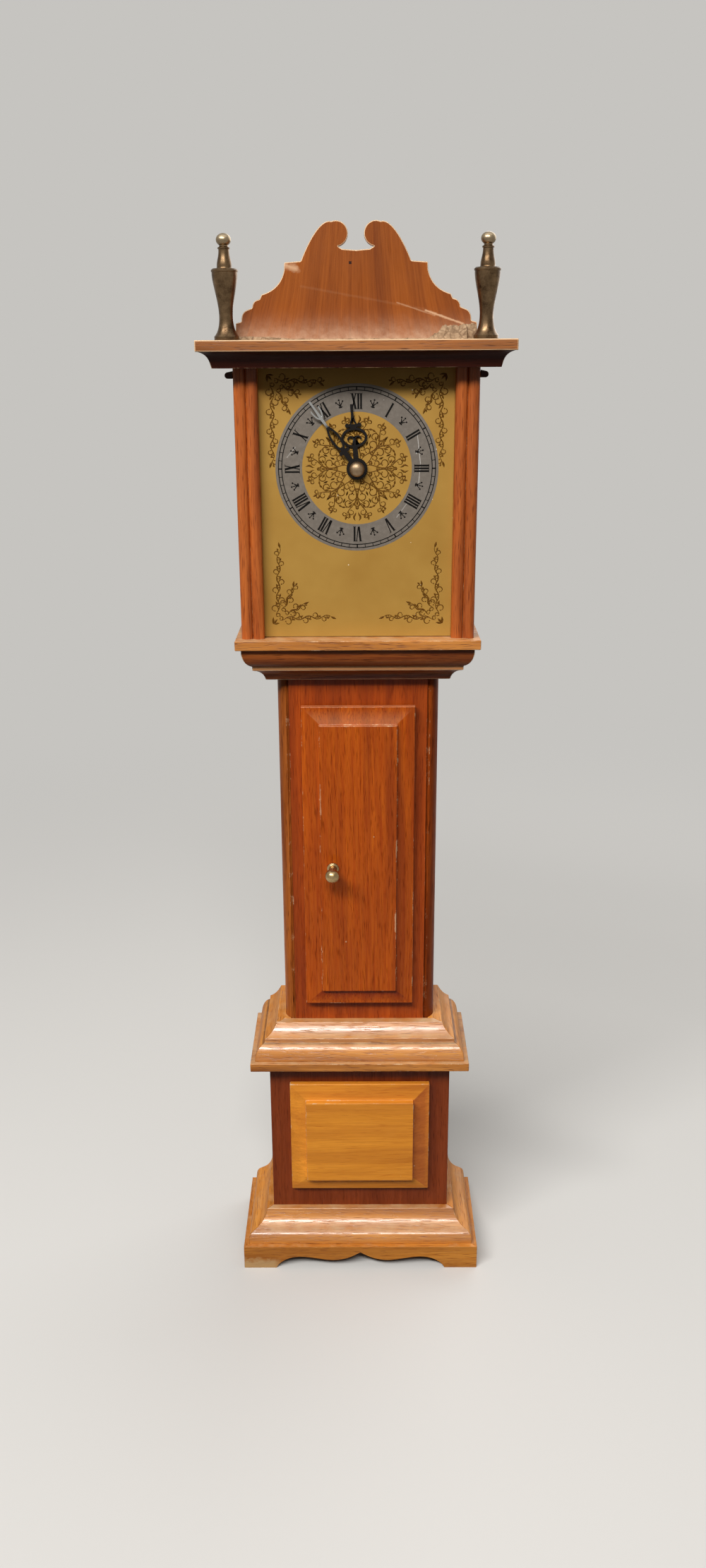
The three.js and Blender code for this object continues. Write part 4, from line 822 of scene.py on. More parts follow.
@dataclass(frozen=True)
class Board(Finish):
    """Bare thin board, as used for a back."""

    name: str = "bare_backboard"
    slot: str = "backboard"
    dark: str = "7d5c38"
    light: str = "a9855a"

    def paint(self, graph: Graph, effects: EffectGroups) -> Sockets:
        """Builds fibres, blotches and a dry surface.

        Args:
            graph: The material's graph.
            effects: The shared groups; not used here.

        Returns:
            What goes into the shader's inputs.
        """
        place = graph.coordinate()
        fibres = graph.noise(graph.scaled(place, (1, 1, 0.25)), scale=1500, detail=4, rough=0.7)
        blotch = graph.noise(place, scale=45, detail=3, rough=0.6)
        shade = graph.span(graph.blend(fibres, blotch, 0.6), 0.3, 0.7)
        return {
            "Base Color": graph.tint(linear(self.dark), shade, self.light),
            "Roughness": graph.lift(0.72, blotch, 0.2),
            "Normal": graph.bump(fibres, 0.08, 0.6),
        }


@dataclass(frozen=True)
class Metal(Finish):
    """Aged or bright metal, which may be rubbed bright, with a painted highlight, between two heights in
    millimetres.
    """

    name: str
    slot: str
    colour: str
    tarnish: str
    roughness: float = 0.35
    cover: float = 0.5
    turned: bool = False
    rubbed: Optional[Point] = None
    rubbed_highlight_tone: str = "d2bf9e"

    def paint(self, graph: Graph, effects: EffectGroups) -> Sockets:
        """Builds tarnish in patches over worn metal, with lathe lines where it was turned.

        Args:
            graph: The material's graph.
            effects: The shared groups; not used here.

        Returns:
            What goes into the shader's inputs.
        """
        place = graph.coordinate()
        cloud = graph.noise(place, scale=260, detail=4, rough=0.62)
        fine = graph.noise(place, scale=2400, detail=2, rough=0.6)
        mask = graph.span(graph.plus(graph.blend(cloud, fine, 0.75), self.cover - 0.5), 0.3, 0.72)
        colour = graph.tint(linear(self.colour), mask, self.tarnish)
        if self.rubbed:
            # Rubbed brass and a painted highlight, paler towards the top of the band.
            bright = graph.span(graph.axes(place)[2], *(height * MM for height in self.rubbed))
            colour = graph.tint(colour, bright, self.rubbed_highlight_tone, 0.5)
        height = fine
        if self.turned:
            height = graph.noise(graph.scaled(place, (0.05, 0.05, 1)), scale=3600, detail=1)
        return {
            "Base Color": colour,
            "Metallic": 1.0,
            "Roughness": graph.lift(self.roughness - 0.06, mask, 0.22),
            "Normal": graph.bump(height, 0.03, 0.35),
        }


@dataclass(frozen=True)
class DialGold(Finish):
    """Satin gold sheet with fine specks of dirt."""

    name: str = "satin_gold_sheet"
    slot: str = "dial_brass"
    colour: str = "b48b42"
    shade: str = "a67c36"
    hollow: str = "7c5a22"
    speck: str = "efe2c4"

    def paint(self, graph: Graph, effects: EffectGroups) -> Sockets:
        """Builds the satin sheet, its cloudy tone and its specks.

        Args:
            graph: The material's graph.
            effects: The shared groups.

        Returns:
            What goes into the shader's inputs.
        """
        place = graph.coordinate()
        cloud = graph.noise(place, scale=40, detail=3, rough=0.6)
        satin = graph.noise(place, scale=5200, detail=2, rough=0.6)
        colour = graph.tint(linear(self.colour), graph.span(cloud, 0.3, 0.7), self.shade)
        colour = graph.tint(colour, satin, self.hollow, 0.12)
        dots = effects.specked(graph, place, scale=260, size=0.055, share=0.16)
        return {
            "Base Color": graph.tint(colour, dots, self.speck),
            "Metallic": 0.06,
            "Specular IOR Level": 0.2,
            "Roughness": graph.lift(0.42, cloud, 0.16),
            "Normal": graph.bump(satin, 0.02, 0.3),
        }


@dataclass(frozen=True)
class Print(Finish):
    """Flat ink on the dial."""

    name: str
    colour: str
    thin: str
    metallic: float = 0.0
    roughness: float = 0.5
    gloss: float = 0.15
    slot: Optional[str] = None
    scuff: str = "d9d4cc"
    face: float = 0.0
    scratches: tuple[Mark, ...] = ()

    def paint(self, graph: Graph, effects: EffectGroups) -> Sockets:
        """Builds ink that thins out in places, with pale scuffs.

        Args:
            graph: The material's graph.
            effects: The shared groups.

        Returns:
            What goes into the shader's inputs.
        """
        place = graph.coordinate()
        thin = graph.span(graph.noise(place, scale=700, detail=3, rough=0.65), 0.45, 0.75)
        colour = graph.tint(linear(self.colour), thin, self.thin, 0.6)
        dots = effects.specked(graph, place, scale=420, size=0.12, share=0.07)
        colour = graph.tint(colour, dots, self.scuff, 0.7)
        return {
            "Base Color": effects.scratched(graph, place, colour, self.scratches, self.face, self.scuff),
            "Metallic": self.metallic,
            "Specular IOR Level": self.gloss,
            "Roughness": graph.lift(self.roughness, thin, 0.12),
            "Normal": graph.bump(graph.noise(place, scale=6000, detail=1), 0.01, 0.3),
        }


@dataclass(frozen=True)
class HandLacquer(Finish):
    """Black lacquer on steel, bare beyond a distance from the hub in millimetres, where the bare steel also
    stands for a painted glint.
    """

    name: str
    slot: str = "black_steel"
    hub: Point = (0.0, 342.1)
    bright_from: float = 99.0
    bright_full: float = 100.0
    black: str = "0e0a08"
    scuffed: str = "5a4a3a"
    steel: str = "b4b4b1"

    def paint(self, graph: Graph, effects: EffectGroups) -> Sockets:
        """Builds the lacquer and the bare steel, which also stands for a painted glint.

        Args:
            graph: The material's graph.
            effects: The shared groups; not used here.

        Returns:
            What goes into the shader's inputs.
        """
        place = graph.coordinate()
        hub = (self.hub[0] * MM, 0.0, self.hub[1] * MM)
        reach = graph.vector("DISTANCE", graph.scaled(place, (1, 0, 1)), hub, 1)
        ragged = graph.lift(reach, graph.noise(place, scale=900, detail=3, rough=0.6), 1.6 * MM)
        # Bare steel beyond the reach, also standing for a painted glint.
        bare = graph.span(ragged, self.bright_from * MM, self.bright_full * MM)
        scuff = graph.span(graph.noise(place, scale=1500, detail=3, rough=0.7), 0.62, 0.74)
        colour = graph.tint(linear(self.black), scuff, self.scuffed, 0.2)
        return {
            "Base Color": graph.tint(colour, bare, self.steel),
            "Metallic": graph.times(bare, 0.9),
            "Specular IOR Level": 0.2,
            "Roughness": graph.lift(0.42, bare, -0.16),
            "Normal": graph.bump(graph.noise(place, scale=3000), 0.02, 0.4),
        }


@dataclass(frozen=True)
class Plastic(Finish):
    """Moulded plastic with a fine spark-eroded texture."""

    name: str
    slot: str
    colour: str
    scuffed: str
    roughness: float = 0.55

    def paint(self, graph: Graph, effects: EffectGroups) -> Sockets:
        """Builds the moulded skin and its light scuffs.

        Args:
            graph: The material's graph.
            effects: The shared groups; not used here.

        Returns:
            What goes into the shader's inputs.
        """
        place = graph.coordinate()
        moulded = graph.noise(place, scale=2800, detail=3, rough=0.6)
        rub = graph.span(graph.noise(place, scale=220, detail=4, rough=0.65), 0.55, 0.75)
        return {
            "Base Color": graph.tint(linear(self.colour), rub, self.scuffed, 0.5),
            "Roughness": graph.lift(self.roughness, rub, -0.1),
            "Normal": graph.bump(moulded, 0.05, 0.5),
        }


@dataclass(frozen=True)
class CellSleeve(Finish):
    """A plain cell along X: a dark sleeve with one copper-coloured band and bright ends, in millimetres."""

    name: str = "plain_cell_sleeve"
    slot: str = "cell_sleeve"
    band_from: float = 10.0
    end_plus: float = 23.6
    end_minus: float = -24.9
    dark: str = "26282b"
    copper: str = "a8703c"
    scuffed: str = "8f8a82"
    steel: str = "c4c2bd"

    def paint(self, graph: Graph, effects: EffectGroups) -> Sockets:
        """Builds the sleeve's zones along the cell.

        Args:
            graph: The material's graph.
            effects: The shared groups; not used here.

        Returns:
            What goes into the shader's inputs.
        """
        place = graph.coordinate()
        along = graph.axes(place)[0]
        band = graph.math("GREATER_THAN", along, self.band_from * MM)
        plus = graph.math("GREATER_THAN", along, self.end_plus * MM)
        minus = graph.math("LESS_THAN", along, self.end_minus * MM)
        ends = graph.math("MAXIMUM", plus, minus)
        scuff = graph.span(graph.noise(place, scale=500, detail=4, rough=0.7), 0.6, 0.75)
        colour = graph.tint(linear(self.dark), band, self.copper)
        colour = graph.tint(colour, scuff, self.scuffed, 0.3)
        return {
            "Base Color": graph.tint(colour, ends, self.steel),
            "Metallic": graph.math("MAXIMUM", ends, graph.times(band, 0.6)),
            "Roughness": graph.lift(0.26, scuff, 0.25),
            "Normal": graph.bump(graph.noise(place, scale=900), 0.03, 0.3),
        }


@dataclass(frozen=True)
class Winding(Finish):
    """Fine enamelled wire wound round a bobbin that lies along X."""

    name: str = "wound_copper"
    slot: str = "coil_copper"
    between: str = "6e3516"
    wire: str = "c0733a"

    def paint(self, graph: Graph, effects: EffectGroups) -> Sockets:
        """Builds the rows of wire and their enamel.

        Args:
            graph: The material's graph.
            effects: The shared groups; not used here.

        Returns:
            What goes into the shader's inputs.
        """
        wave = graph.node("ShaderNodeTexWave", wave_type="BANDS", bands_direction="X")
        graph.fill(wave, {"Vector": graph.coordinate(), "Scale": 1600, "Distortion": 0.6})
        rows = wave.outputs["Fac"]
        return {
            "Base Color": graph.tint(linear(self.between), rows, self.wire),
            "Metallic": 0.8,
            "Roughness": graph.lift(0.45, rows, -0.12),
            "Normal": graph.bump(rows, 0.08, 0.6),
        }


@dataclass(frozen=True)
class Debris(Finish):
    """Old glue and grey dust, crumbled and cracked."""

    name: str = "crumbled_debris"
    slot: Optional[str] = None
    pale: str = "b89a78"
    deep: str = "75583c"
    crack: str = "5b4028"

    def paint(self, graph: Graph, effects: EffectGroups) -> Sockets:
        """Builds the crumbs and the cracks between them.

        Args:
            graph: The material's graph.
            effects: The shared groups; not used here.

        Returns:
            What goes into the shader's inputs.
        """
        place = graph.coordinate()
        crumbs = graph.noise(place, scale=700, detail=5, rough=0.72)
        cells = graph.node("ShaderNodeTexVoronoi", feature="DISTANCE_TO_EDGE")
        graph.fill(cells, {"Vector": place, "Scale": 330})
        crack = graph.minus(1.0, graph.span(cells.outputs["Distance"], 0.0, 0.1))
        colour = graph.tint(linear(self.deep), graph.span(crumbs, 0.3, 0.7), self.pale)
        return {
            "Base Color": graph.tint(colour, crack, self.crack, 0.6),
            "Roughness": 0.9,
            "Normal": graph.bump(crumbs, 0.3, 0.8),
        }


@dataclass(frozen=True)
class Paper(Finish):
    """The studio's pale paper, which turns into the pale surroundings far from the clock, in metres."""

    name: str = "studio_paper"
    slot: Optional[str] = None
    colour: str = "cfccc7"
    fibre: str = "c8c5bf"
    unseen: str = "444341"
    around: str = "c6c4c0"
    near: float = 0.15
    far: float = 0.85

    def paint(self, graph: Graph, effects: EffectGroups) -> Sockets:
        """Builds plain paper with a faint fibre, and its far edge.

        Args:
            graph: The material's graph.
            effects: The shared groups; not used here.

        Returns:
            What goes into the shader's inputs.
        """
        place = graph.coordinate()
        seen = graph.seen()
        fibre = graph.noise(place, scale=300, detail=3, rough=0.6)
        pale = graph.tint(linear(self.colour), fibre, self.fibre, 0.1)
        edge = graph.span(graph.vector("DISTANCE", place, result=1), self.near, self.far, "SMOOTHSTEP")
        colour = graph.mix(seen, linear(self.unseen), pale)
        return {
            "Base Color": graph.mix(edge, colour, (0, 0, 0, 1)),
            "Emission Color": linear(self.around),
            "Emission Strength": graph.times(edge, seen),
            "Roughness": 0.85,
            "Specular IOR Level": 0.0,
        }


class FinishShop:
    """Makes each finish's material once and puts it on pieces."""

    def __init__(self) -> None:
        """Builds the shared groups."""
        self.effects = EffectGroups()
        self.made: dict[str, bpy.types.Material] = {}

    def material(self, finish: Finish) -> bpy.types.Material:
        """Gives a finish's material.

        Args:
            finish: The finish to make.

        Returns:
            Its material, built the first time.
        """
        if finish.name not in self.made:
            made = bpy.data.materials.new(finish.name)
            made.use_nodes = True
            graph = Graph(made.node_tree)
            graph.fill(made.node_tree.nodes["Principled BSDF"], finish.paint(graph, self.effects))
            self.made[finish.name] = made
        return self.made[finish.name]

    def coat(self, obj: Piece, finish: Finish) -> None:
        """Gives an object one finish all over."""
        obj.data.materials.clear()
        obj.data.materials.append(self.material(finish))


class Bench:
    """The operators that shape pieces by hand, with angles in degrees and lengths in millimetres."""

    SHARP = 33
    FLAT = 0.5
    MERGE = 0.001
    SMOOTH_EASED = 34
    SMOOTH_TURNED = 40
    NEAR_POLE = 86

    @staticmethod
    def clear() -> None:
        """Leaves edit mode and deselects everything."""
        if bpy.context.object and bpy.context.object.mode != "OBJECT":
            bpy.ops.object.mode_set(mode="OBJECT")
        bpy.ops.object.select_all(action="DESELECT")

    @classmethod
    def pick(cls, *objs: Piece) -> None:
        """Selects only these objects and makes the first one active.

        Args:
            objs: The objects.
        """
        cls.clear()
        for obj in objs:
            obj.select_set(True)
        bpy.context.view_layer.objects.active = objs[0]

    @classmethod
    def fix(cls, obj: Piece) -> None:
        """Applies an object's place, turn and scale to its mesh."""
        cls.pick(obj)
        bpy.ops.object.transform_apply(location=True, rotation=True, scale=True)

    @classmethod
    def modify(cls, obj: Piece, kind: str, **settings: object) -> None:
        """Adds a modifier and applies it.

        Args:
            obj: The piece.
            kind: The modifier's type.
            settings: Properties to set on it.
        """
        cls.pick(obj)
        bpy.ops.object.modifier_add(type=kind)
        made = obj.modifiers[-1]
        for name, value in settings.items():
            setattr(made, name, value)
        bpy.ops.object.modifier_apply(modifier=made.name)

    @classmethod
    def smooth(cls, obj: Piece, angle: float) -> None:
        """Shades an object smooth, up to an angle in degrees."""
        cls.pick(obj)
        bpy.ops.object.shade_smooth_by_angle(angle=math.radians(angle))

    @classmethod
    def copy(cls, mesh: bpy.types.Mesh, name: str) -> Piece:
        """Puts a copy of a mesh into the scene as a piece of its own.

        Args:
            mesh: The mesh.
            name: Name of the new piece.

        Returns:
            The new piece.
        """
        made = bpy.data.objects.new(name, mesh.copy())
        bpy.context.scene.collection.objects.link(made)
        return made

    @classmethod
    def node_copy(cls, node: str, name: str) -> Piece:
        """Copies a CAD node's mesh, joins its corners and clears flat edges.

        Args:
            node: The CAD node.
            name: Name of the new piece.

        Returns:
            The copy, ready to be shaped.
        """
        made = cls.copy(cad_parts[node].data, name)
        made.data.materials.clear()
        cls.pick(made)
        bpy.ops.object.mode_set(mode="EDIT")
        bpy.ops.mesh.select_all(action="SELECT")
        bpy.ops.mesh.remove_doubles(threshold=cls.MERGE * MM)
        bpy.ops.mesh.dissolve_limited(angle_limit=math.radians(cls.FLAT))
        bpy.ops.object.mode_set(mode="OBJECT")
        return made

    @classmethod
    def ease_edges(cls, obj: Piece, width: float, seed: float) -> None:
        """Rounds the sharp edges and marks the rounded faces as arrises.

        Args:
            obj: The piece.
            width: Width of the rounding in millimetres.
            seed: A number that shifts the piece's grain.
        """
        for _ in range(2):
            obj.data.materials.append(None)
        limit = {"limit_method": "ANGLE", "angle_limit": math.radians(cls.SHARP)}
        cls.modify(obj, "BEVEL", width=width * MM, segments=2, material=1, miter_outer="MITER_ARC", **limit)
        faces = obj.data.polygons
        marks = [float(face.material_index == 1) for face in faces]
        obj.data.attributes.new(ARRIS, "FLOAT", "FACE").data.foreach_set("value", marks)
        obj.data.attributes.new(SEED, "FLOAT", "FACE").data.foreach_set("value", [seed] * len(faces))
        faces.foreach_set("material_index", [0] * len(faces))
        obj.data.materials.clear()
        cls.smooth(obj, cls.SMOOTH_EASED)
        cls.modify(obj, "WEIGHTED_NORMAL", keep_sharp=True, weight=80)

    @classmethod
    def turn(
        cls, name: str, profile: Sequence[Point], place: Vector, facing: Facing, sides: int = 64
    ) -> Piece:
        """Turns a piece as on a lathe: a disc is extruded ring by ring.

        Args:
            name: Name of the piece.
            profile: Radius and height of each ring in millimetres.
            place: Where the profile's foot stands, in metres.
            facing: The way the axis points.
            sides: Steps round the axis.

        Returns:
            The turned piece.
        """
        cls.clear()
        radius, height = profile[0]
        bpy.ops.mesh.primitive_circle_add(vertices=sides, radius=radius, fill_type="NGON", location=(0, 0, 0))
        made = bpy.context.object
        made.name = name
        bpy.ops.object.mode_set(mode="EDIT")
        bpy.ops.mesh.select_all(action="SELECT")
        bpy.ops.transform.translate(value=(0, 0, height))
        for wide, high in profile[1:]:
            bpy.ops.mesh.extrude_region_move(TRANSFORM_OT_translate={"value": (0, 0, high - height)})
            share = wide / radius
            bpy.ops.transform.resize(value=(share, share, 1), center_override=(0, 0, high))
            radius, height = wide, high
        bpy.ops.mesh.select_all(action="SELECT")
        bpy.ops.mesh.remove_doubles(threshold=1e-5)
        bpy.ops.mesh.normals_make_consistent(inside=False)
        bpy.ops.object.mode_set(mode="OBJECT")
        made.scale = (MM, MM, MM)
        made.rotation_euler = facing.value
        made.location = place
        cls.fix(made)
        cls.smooth(made, cls.SMOOTH_TURNED)
        return made

    @classmethod
    def shift(cls, source: Piece, name: str, move: Vector) -> Piece:
        """Copies a finished piece to another place, with a mesh of its own.

        Args:
            source: The finished piece.
            name: Name of the copy.
            move: How far it moves, in metres.

        Returns:
            The copy.
        """
        made = cls.copy(source.data, name)
        made.location = move
        cls.fix(made)
        return made

    @classmethod
    def join(cls, name: str, objs: Sequence[Piece]) -> Piece:
        """Joins several objects to one piece.

        Args:
            name: Name of the piece.
            objs: The objects.

        Returns:
            The piece.
        """
        cls.pick(*objs)
        bpy.ops.object.join()
        made = bpy.context.view_layer.objects.active
        made.name = name
        cls.fix(made)
        return made


@dataclass
class SubAssembly:
    """A group of pieces that are built and dressed together, with its sizes in millimetres."""

    shop: FinishShop
    pieces: list[Piece] = field(default_factory=list, init=False)

    def settle(self, obj: Piece, body: str, finish: Finish, nodes: Iterable[str] = ()) -> Piece:
        """Finishes a piece and lets it ride on its body.

        Args:
            obj: The piece.
            body: The CAD body that carries it.
            finish: Its finish.
            nodes: CAD nodes that it stands for.

        Returns:
            The piece.
        """
        self.shop.coat(obj, finish)
        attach(obj, body)
        if nodes:
            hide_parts(*nodes)
        self.pieces.append(obj)
        return obj

    def joiner(
        self, nodes: Iterable[str], finish: Finish, ease: float, body: str = CASE, tag: str = "wood"
    ) -> None:
        """Puts eased and finished copies in the place of CAD nodes.

        Args:
            nodes: The nodes.
            finish: Their finish.
            ease: Width of the eased edges in millimetres.
            body: The CAD body that carries them.
            tag: Last word of the pieces' names.
        """
        for node in nodes:
            made = Bench.node_copy(node, f"{node}_{tag}")
            seed = sum(ord(letter) for letter in node) % 97 * 0.37
            Bench.ease_edges(made, ease, seed)
            self.settle(made, body, finish, [node])

    def keep(self, nodes: Iterable[str], finish: Finish) -> None:
        """Gives CAD nodes that stay as they are a finish of their own.

        Args:
            nodes: The nodes.
            finish: Their finish.
        """
        for node in nodes:
            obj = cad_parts[node]
            self.shop.coat(obj, finish)
            self.pieces.append(obj)

    def build(self) -> None:
        """Builds and dresses the pieces."""
        raise NotImplementedError


# Painted shadow line under the waist moulding's fillet.
WAIST_PAINTED_SHADOW_LINE = ((106.2, 0.32, "3b1c0a"),)
# A pale line along the neck's fillet, and a painted shadow line under the hood floor's overhang.
NECK_PALE_AND_SHADOW_LINES = ((268.3, 0.8, "c89260"), (276.1, 0.5, "1c0a04"))
CREST_MARKS = (
    (-19.0, 403.6, 24.0, 395.9, 1.2, 0.06),
    (24.0, 395.6, 37.0, 391.2, 1.0, 0.95),
    (14.0, 398.2, 27.0, 394.0, 0.7, 0.4),
    (-24.4, 410.4, -20.6, 409.2, 3.2, 0.8),
)
DOOR_CHIPS = (
    (-15.5, 220.5, -15.4, 208.5, 1.5, 0.9),
    (15.5, 243.0, 15.5, 235.0, 1.0, 0.8),
    (15.2, 197.0, 15.2, 190.0, 0.7, 0.7),
    (15.0, 164.5, 15.0, 157.0, 1.1, 0.8),
)
RING_MARKS = (
    (21.7, 354.2, 22.9, 344.1, 0.36, 0.7),
    (22.9, 344.1, 22.3, 335.7, 0.36, 0.7),
    (18.7, 330.4, 14.5, 324.7, 0.5, 0.4),
    (-25.2, 346.2, -22.2, 349.7, 0.5, 0.35),
)
CREST_FACE = -13.9
DOOR_FACE = -9.75
RING_FACE = -10.47

TAN = {"dark": "8c4810", "middle": "cc7e28", "light": "e0963e", "figure": 0.6, "pores": 0.9}
# A darker copy of the tan moulding wood: painted shade under the hood floor.
NECK_SHADED_TONES = {"dark": "4c1804", "middle": "8a3e12", "light": "b46428", "figure": 0.95, "pores": 1.0}
NECK_LOOK = {"wear": 0.9, "gloss": 0.16, "lines_and_painted_shadows": NECK_PALE_AND_SHADOW_LINES}
DULL = {"gloss": 0.08, "coat": 0.03}
DARK = {"wear": 0.5, "gloss": 0.1, "coat": 0.02}
TAN_ACROSS = Wood(
    "tan_moulding_across",
    "pale_wood",
    **TAN,
    grain=Grain.ACROSS,
    lines_and_painted_shadows=WAIST_PAINTED_SHADOW_LINE,
    dust=0.5,
    roughness=0.3,
    gloss=0.8,
    coat=1.0,
    coat_roughness=0.24,
    relief=0.12,
)
TAN_DEEP = Wood(
    "tan_moulding_deep",
    "pale_wood",
    **TAN,
    grain=Grain.DEEP,
    lines_and_painted_shadows=WAIST_PAINTED_SHADOW_LINE,
    dust=0.3,
    gloss=0.2,
    coat=0.1,
    relief=0.1,
)
FOOT_ACROSS = FootWood("tan_plinth", "pale_wood", **TAN, grain=Grain.ACROSS, dust=0.3)
NECK_ACROSS = Wood("neck_painted_shade_across", "pale_wood", **NECK_SHADED_TONES, grain=Grain.ACROSS, **NECK_LOOK)
NECK_DEEP = Wood("neck_painted_shade_deep", "pale_wood", **NECK_SHADED_TONES, grain=Grain.DEEP, **NECK_LOOK)
FLOOR_TAN = Wood(
    "streaked_floor_board",
    "pale_wood",
    *("7f4214", "c27a34", "d68d44"),
    Grain.ACROSS,
    dust=0.5,
    figure=0.8,
    pores=1.0,
    relief=0.12,
)
TOP_TAN = Wood(
    "dusty_top_board",
    "pale_wood",
    *("5e3214", "9d6030", "b5713c"),
    Grain.ACROSS,
    wear=0.74,
    dust=0.6,
    figure=0.8,
    pores=1.0,
)
# Its right bevel carries painted shade.
PANEL_GOLD = Wood(
    "gold_panel", "pale_wood", *("b4621a", "e08c28", "f6a234"), Grain.ACROSS, pores=0.4, stain_and_shade_lean=(0.9, 0, 0)
)
BASE_RED = Wood(
    "dark_red_box", "dark_mahogany", *("5a1e08", "78320f", "8a3c16"), Grain.UPRIGHT, wear=0.3, gloss=0.16
)
# The cornice and the hood beads are stained darker than their wood: painted shade from the top board's
# overhang.
CORNICE_SHADED = Wood("cornice_painted_shade", "dark_mahogany", *("1b0703", "2c0e05", "3e160a"), Grain.ACROSS, **DARK)
CORNICE_DEEP_SHADED = Wood("cornice_painted_shade_deep", "dark_mahogany", *("1a0703", "290d05", "38140a"), Grain.DEEP, **DARK)
TRUNK_RED = Wood(
    "red_brown_trunk",
    "mahogany",
    *("681f04", "a03e0a", "ba5210"),
    Grain.UPRIGHT,
    wear=0.4,
    figure=0.6,
    pores=0.7,
    gloss=0.2,
)
CORNER_GOLD = Wood(
    "streaked_corner",
    "mahogany",
    *("682808", "b25e1e", "ca7636"),
    Grain.UPRIGHT,
    figure=0.95,
    pores=1.0,
    **DULL,
)
# A darker, redder copy of the corner wood for the right strip: painted shade on the side away from the light.
CORNER_SHADED = Wood(
    "corner_painted_shade",
    "mahogany",
    *("581a06", "9c4210", "b4581c"),
    Grain.UPRIGHT,
    wear=0.4,
    figure=0.8,
    pores=0.9,
    **DULL,
)
POST_RED = Wood(
    "reeded_post",
    "mahogany",
    *("6e2a0e", "ae541c", "ca6e2e"),
    Grain.UPRIGHT,
    wear=0.5,
    figure=0.55,
    pores=0.9,
)
DOOR_ORANGE = Wood(
    "orange_door",
    "door_wood",
    *("742606", "ac4408", "cc620c"),
    Grain.UPRIGHT,
    wear=0.41,
    dust=0.3,
    figure=0.55,
    pores=0.8,
    gloss=0.16,
    coat=0.2,
    nicks=0.09,
    face=DOOR_FACE,
    scratches=DOOR_CHIPS,
    # Stain and painted shade on the lower bevel.
    stain_and_shade_lean=(0, 0, -1),
    # Dust and a painted sheen on the upper bevel.
    dust_and_sheen=0.13,
)
CREST = CrestWood(
    "worn_crest",
    "mahogany",
    *("642c0e", "8c4612", "a4581c"),
    Grain.UPRIGHT,
    wear=0.75,
    dust=0.5,
    figure=0.42,
    pores=0.3,
    cloud=0.62,
    gloss=0.18,
    face=CREST_FACE,
    scratches=CREST_MARKS,
)
BARE_BOARD = Board()
# The finial balls are paler towards their tops: rubbed brass and a painted highlight.
AGED_BRASS = Metal(
    "aged_brass", "aged_brass", "8c7254", "38281a", 0.28, 0.54, turned=True, rubbed=(415.8, 419.4)
)
KNOB_BRASS = Metal("handled_brass", "aged_brass", "c0a478", "604a2c", 0.26, 0.46)
HINGE_BRASS = Metal("dull_hinge_brass", "aged_brass", "a68a50", "6b5730", 0.38, 0.5)
SCREW_BRASS = Metal("screw_brass", "aged_brass", "b99c5e", "7a6236", 0.34, 0.45)
NUT_METAL = Metal("turned_nut", "aged_brass", "a08a70", "735c42", 0.42, 0.5)
CONTACT = Metal("plated_contact", "contact_steel", "c8c8c4", "8f8d88", 0.3, 0.4)
DIAL_SHEET = DialGold()
RING_SILVER = Print("silver_ring", "72695f", "857b70", 0.15, 0.5, 0.3, face=RING_FACE, scratches=RING_MARKS)
INK_BLACK = Print("black_ink", "0a0806", "1e1a17", roughness=0.55, gloss=0.1)
INK_OLIVE = Print("olive_ink", "643f0a", "866019", roughness=0.55)
HOUR_LACQUER = HandLacquer("hour_lacquer")
# The minute hand's tip is bare steel, also standing for a painted glint.
MINUTE_LACQUER = HandLacquer("minute_lacquer", bright_from=18.6, bright_full=20.4)
CASE_PLASTIC = Plastic("black_moulding", "black_plastic", "1d1e21", "3a3b3e")
PALE_PLASTIC = Plastic("pale_moulding", "pale_plastic", "d8d2c2", "b9b2a0", 0.48)


@dataclass
class Case(SubAssembly):
    """The wooden case from the plinth up to the top board."""

    board_ease: float = 0.35
    moulding_ease: float = 0.22

    def build(self) -> None:
        """Eases and stains every board and moulding."""
        board, moulding = self.board_ease, self.moulding_ease
        plan = (
            (FOOT_ACROSS, board, ["plinth_front"]),
            (TAN_DEEP, board, pair("plinth")),
            (TAN_ACROSS, moulding, ["base_ogee_front", "waist_moulding_front"]),
            (TAN_DEEP, moulding, pair("base_ogee") + pair("waist_moulding")),
            (NECK_ACROSS, moulding, ["neck_moulding_front"]),
            (NECK_DEEP, moulding, pair("neck_moulding")),
            (FLOOR_TAN, board, ["waist_board", "hood_floor"]),
            (BASE_RED, moulding, ["base_front"] + pair("base_side")),
            (PANEL_GOLD, board, ["base_panel"]),
            (TRUNK_RED, moulding, ["trunk_front"] + pair("trunk_side")),
            (CORNER_GOLD, moulding, ["trunk_corner_left"]),
            (CORNER_SHADED, moulding, ["trunk_corner_right"]),
            (POST_RED, moulding, pair("hood_post")),
            (POST_RED, board, pair("hood_side")),
            (CORNICE_DEEP_SHADED, moulding, pair("hood_bead") + pair("cornice")),
            (CORNICE_SHADED, moulding, ["cornice_front"]),
            (TOP_TAN, board, ["hood_top_board"]),
        )
        for finish, ease, nodes in plan:
            self.joiner(nodes, finish, ease)
        self.joiner(["base_back", "trunk_back", "hood_back"], BARE_BOARD, moulding, tag="board")


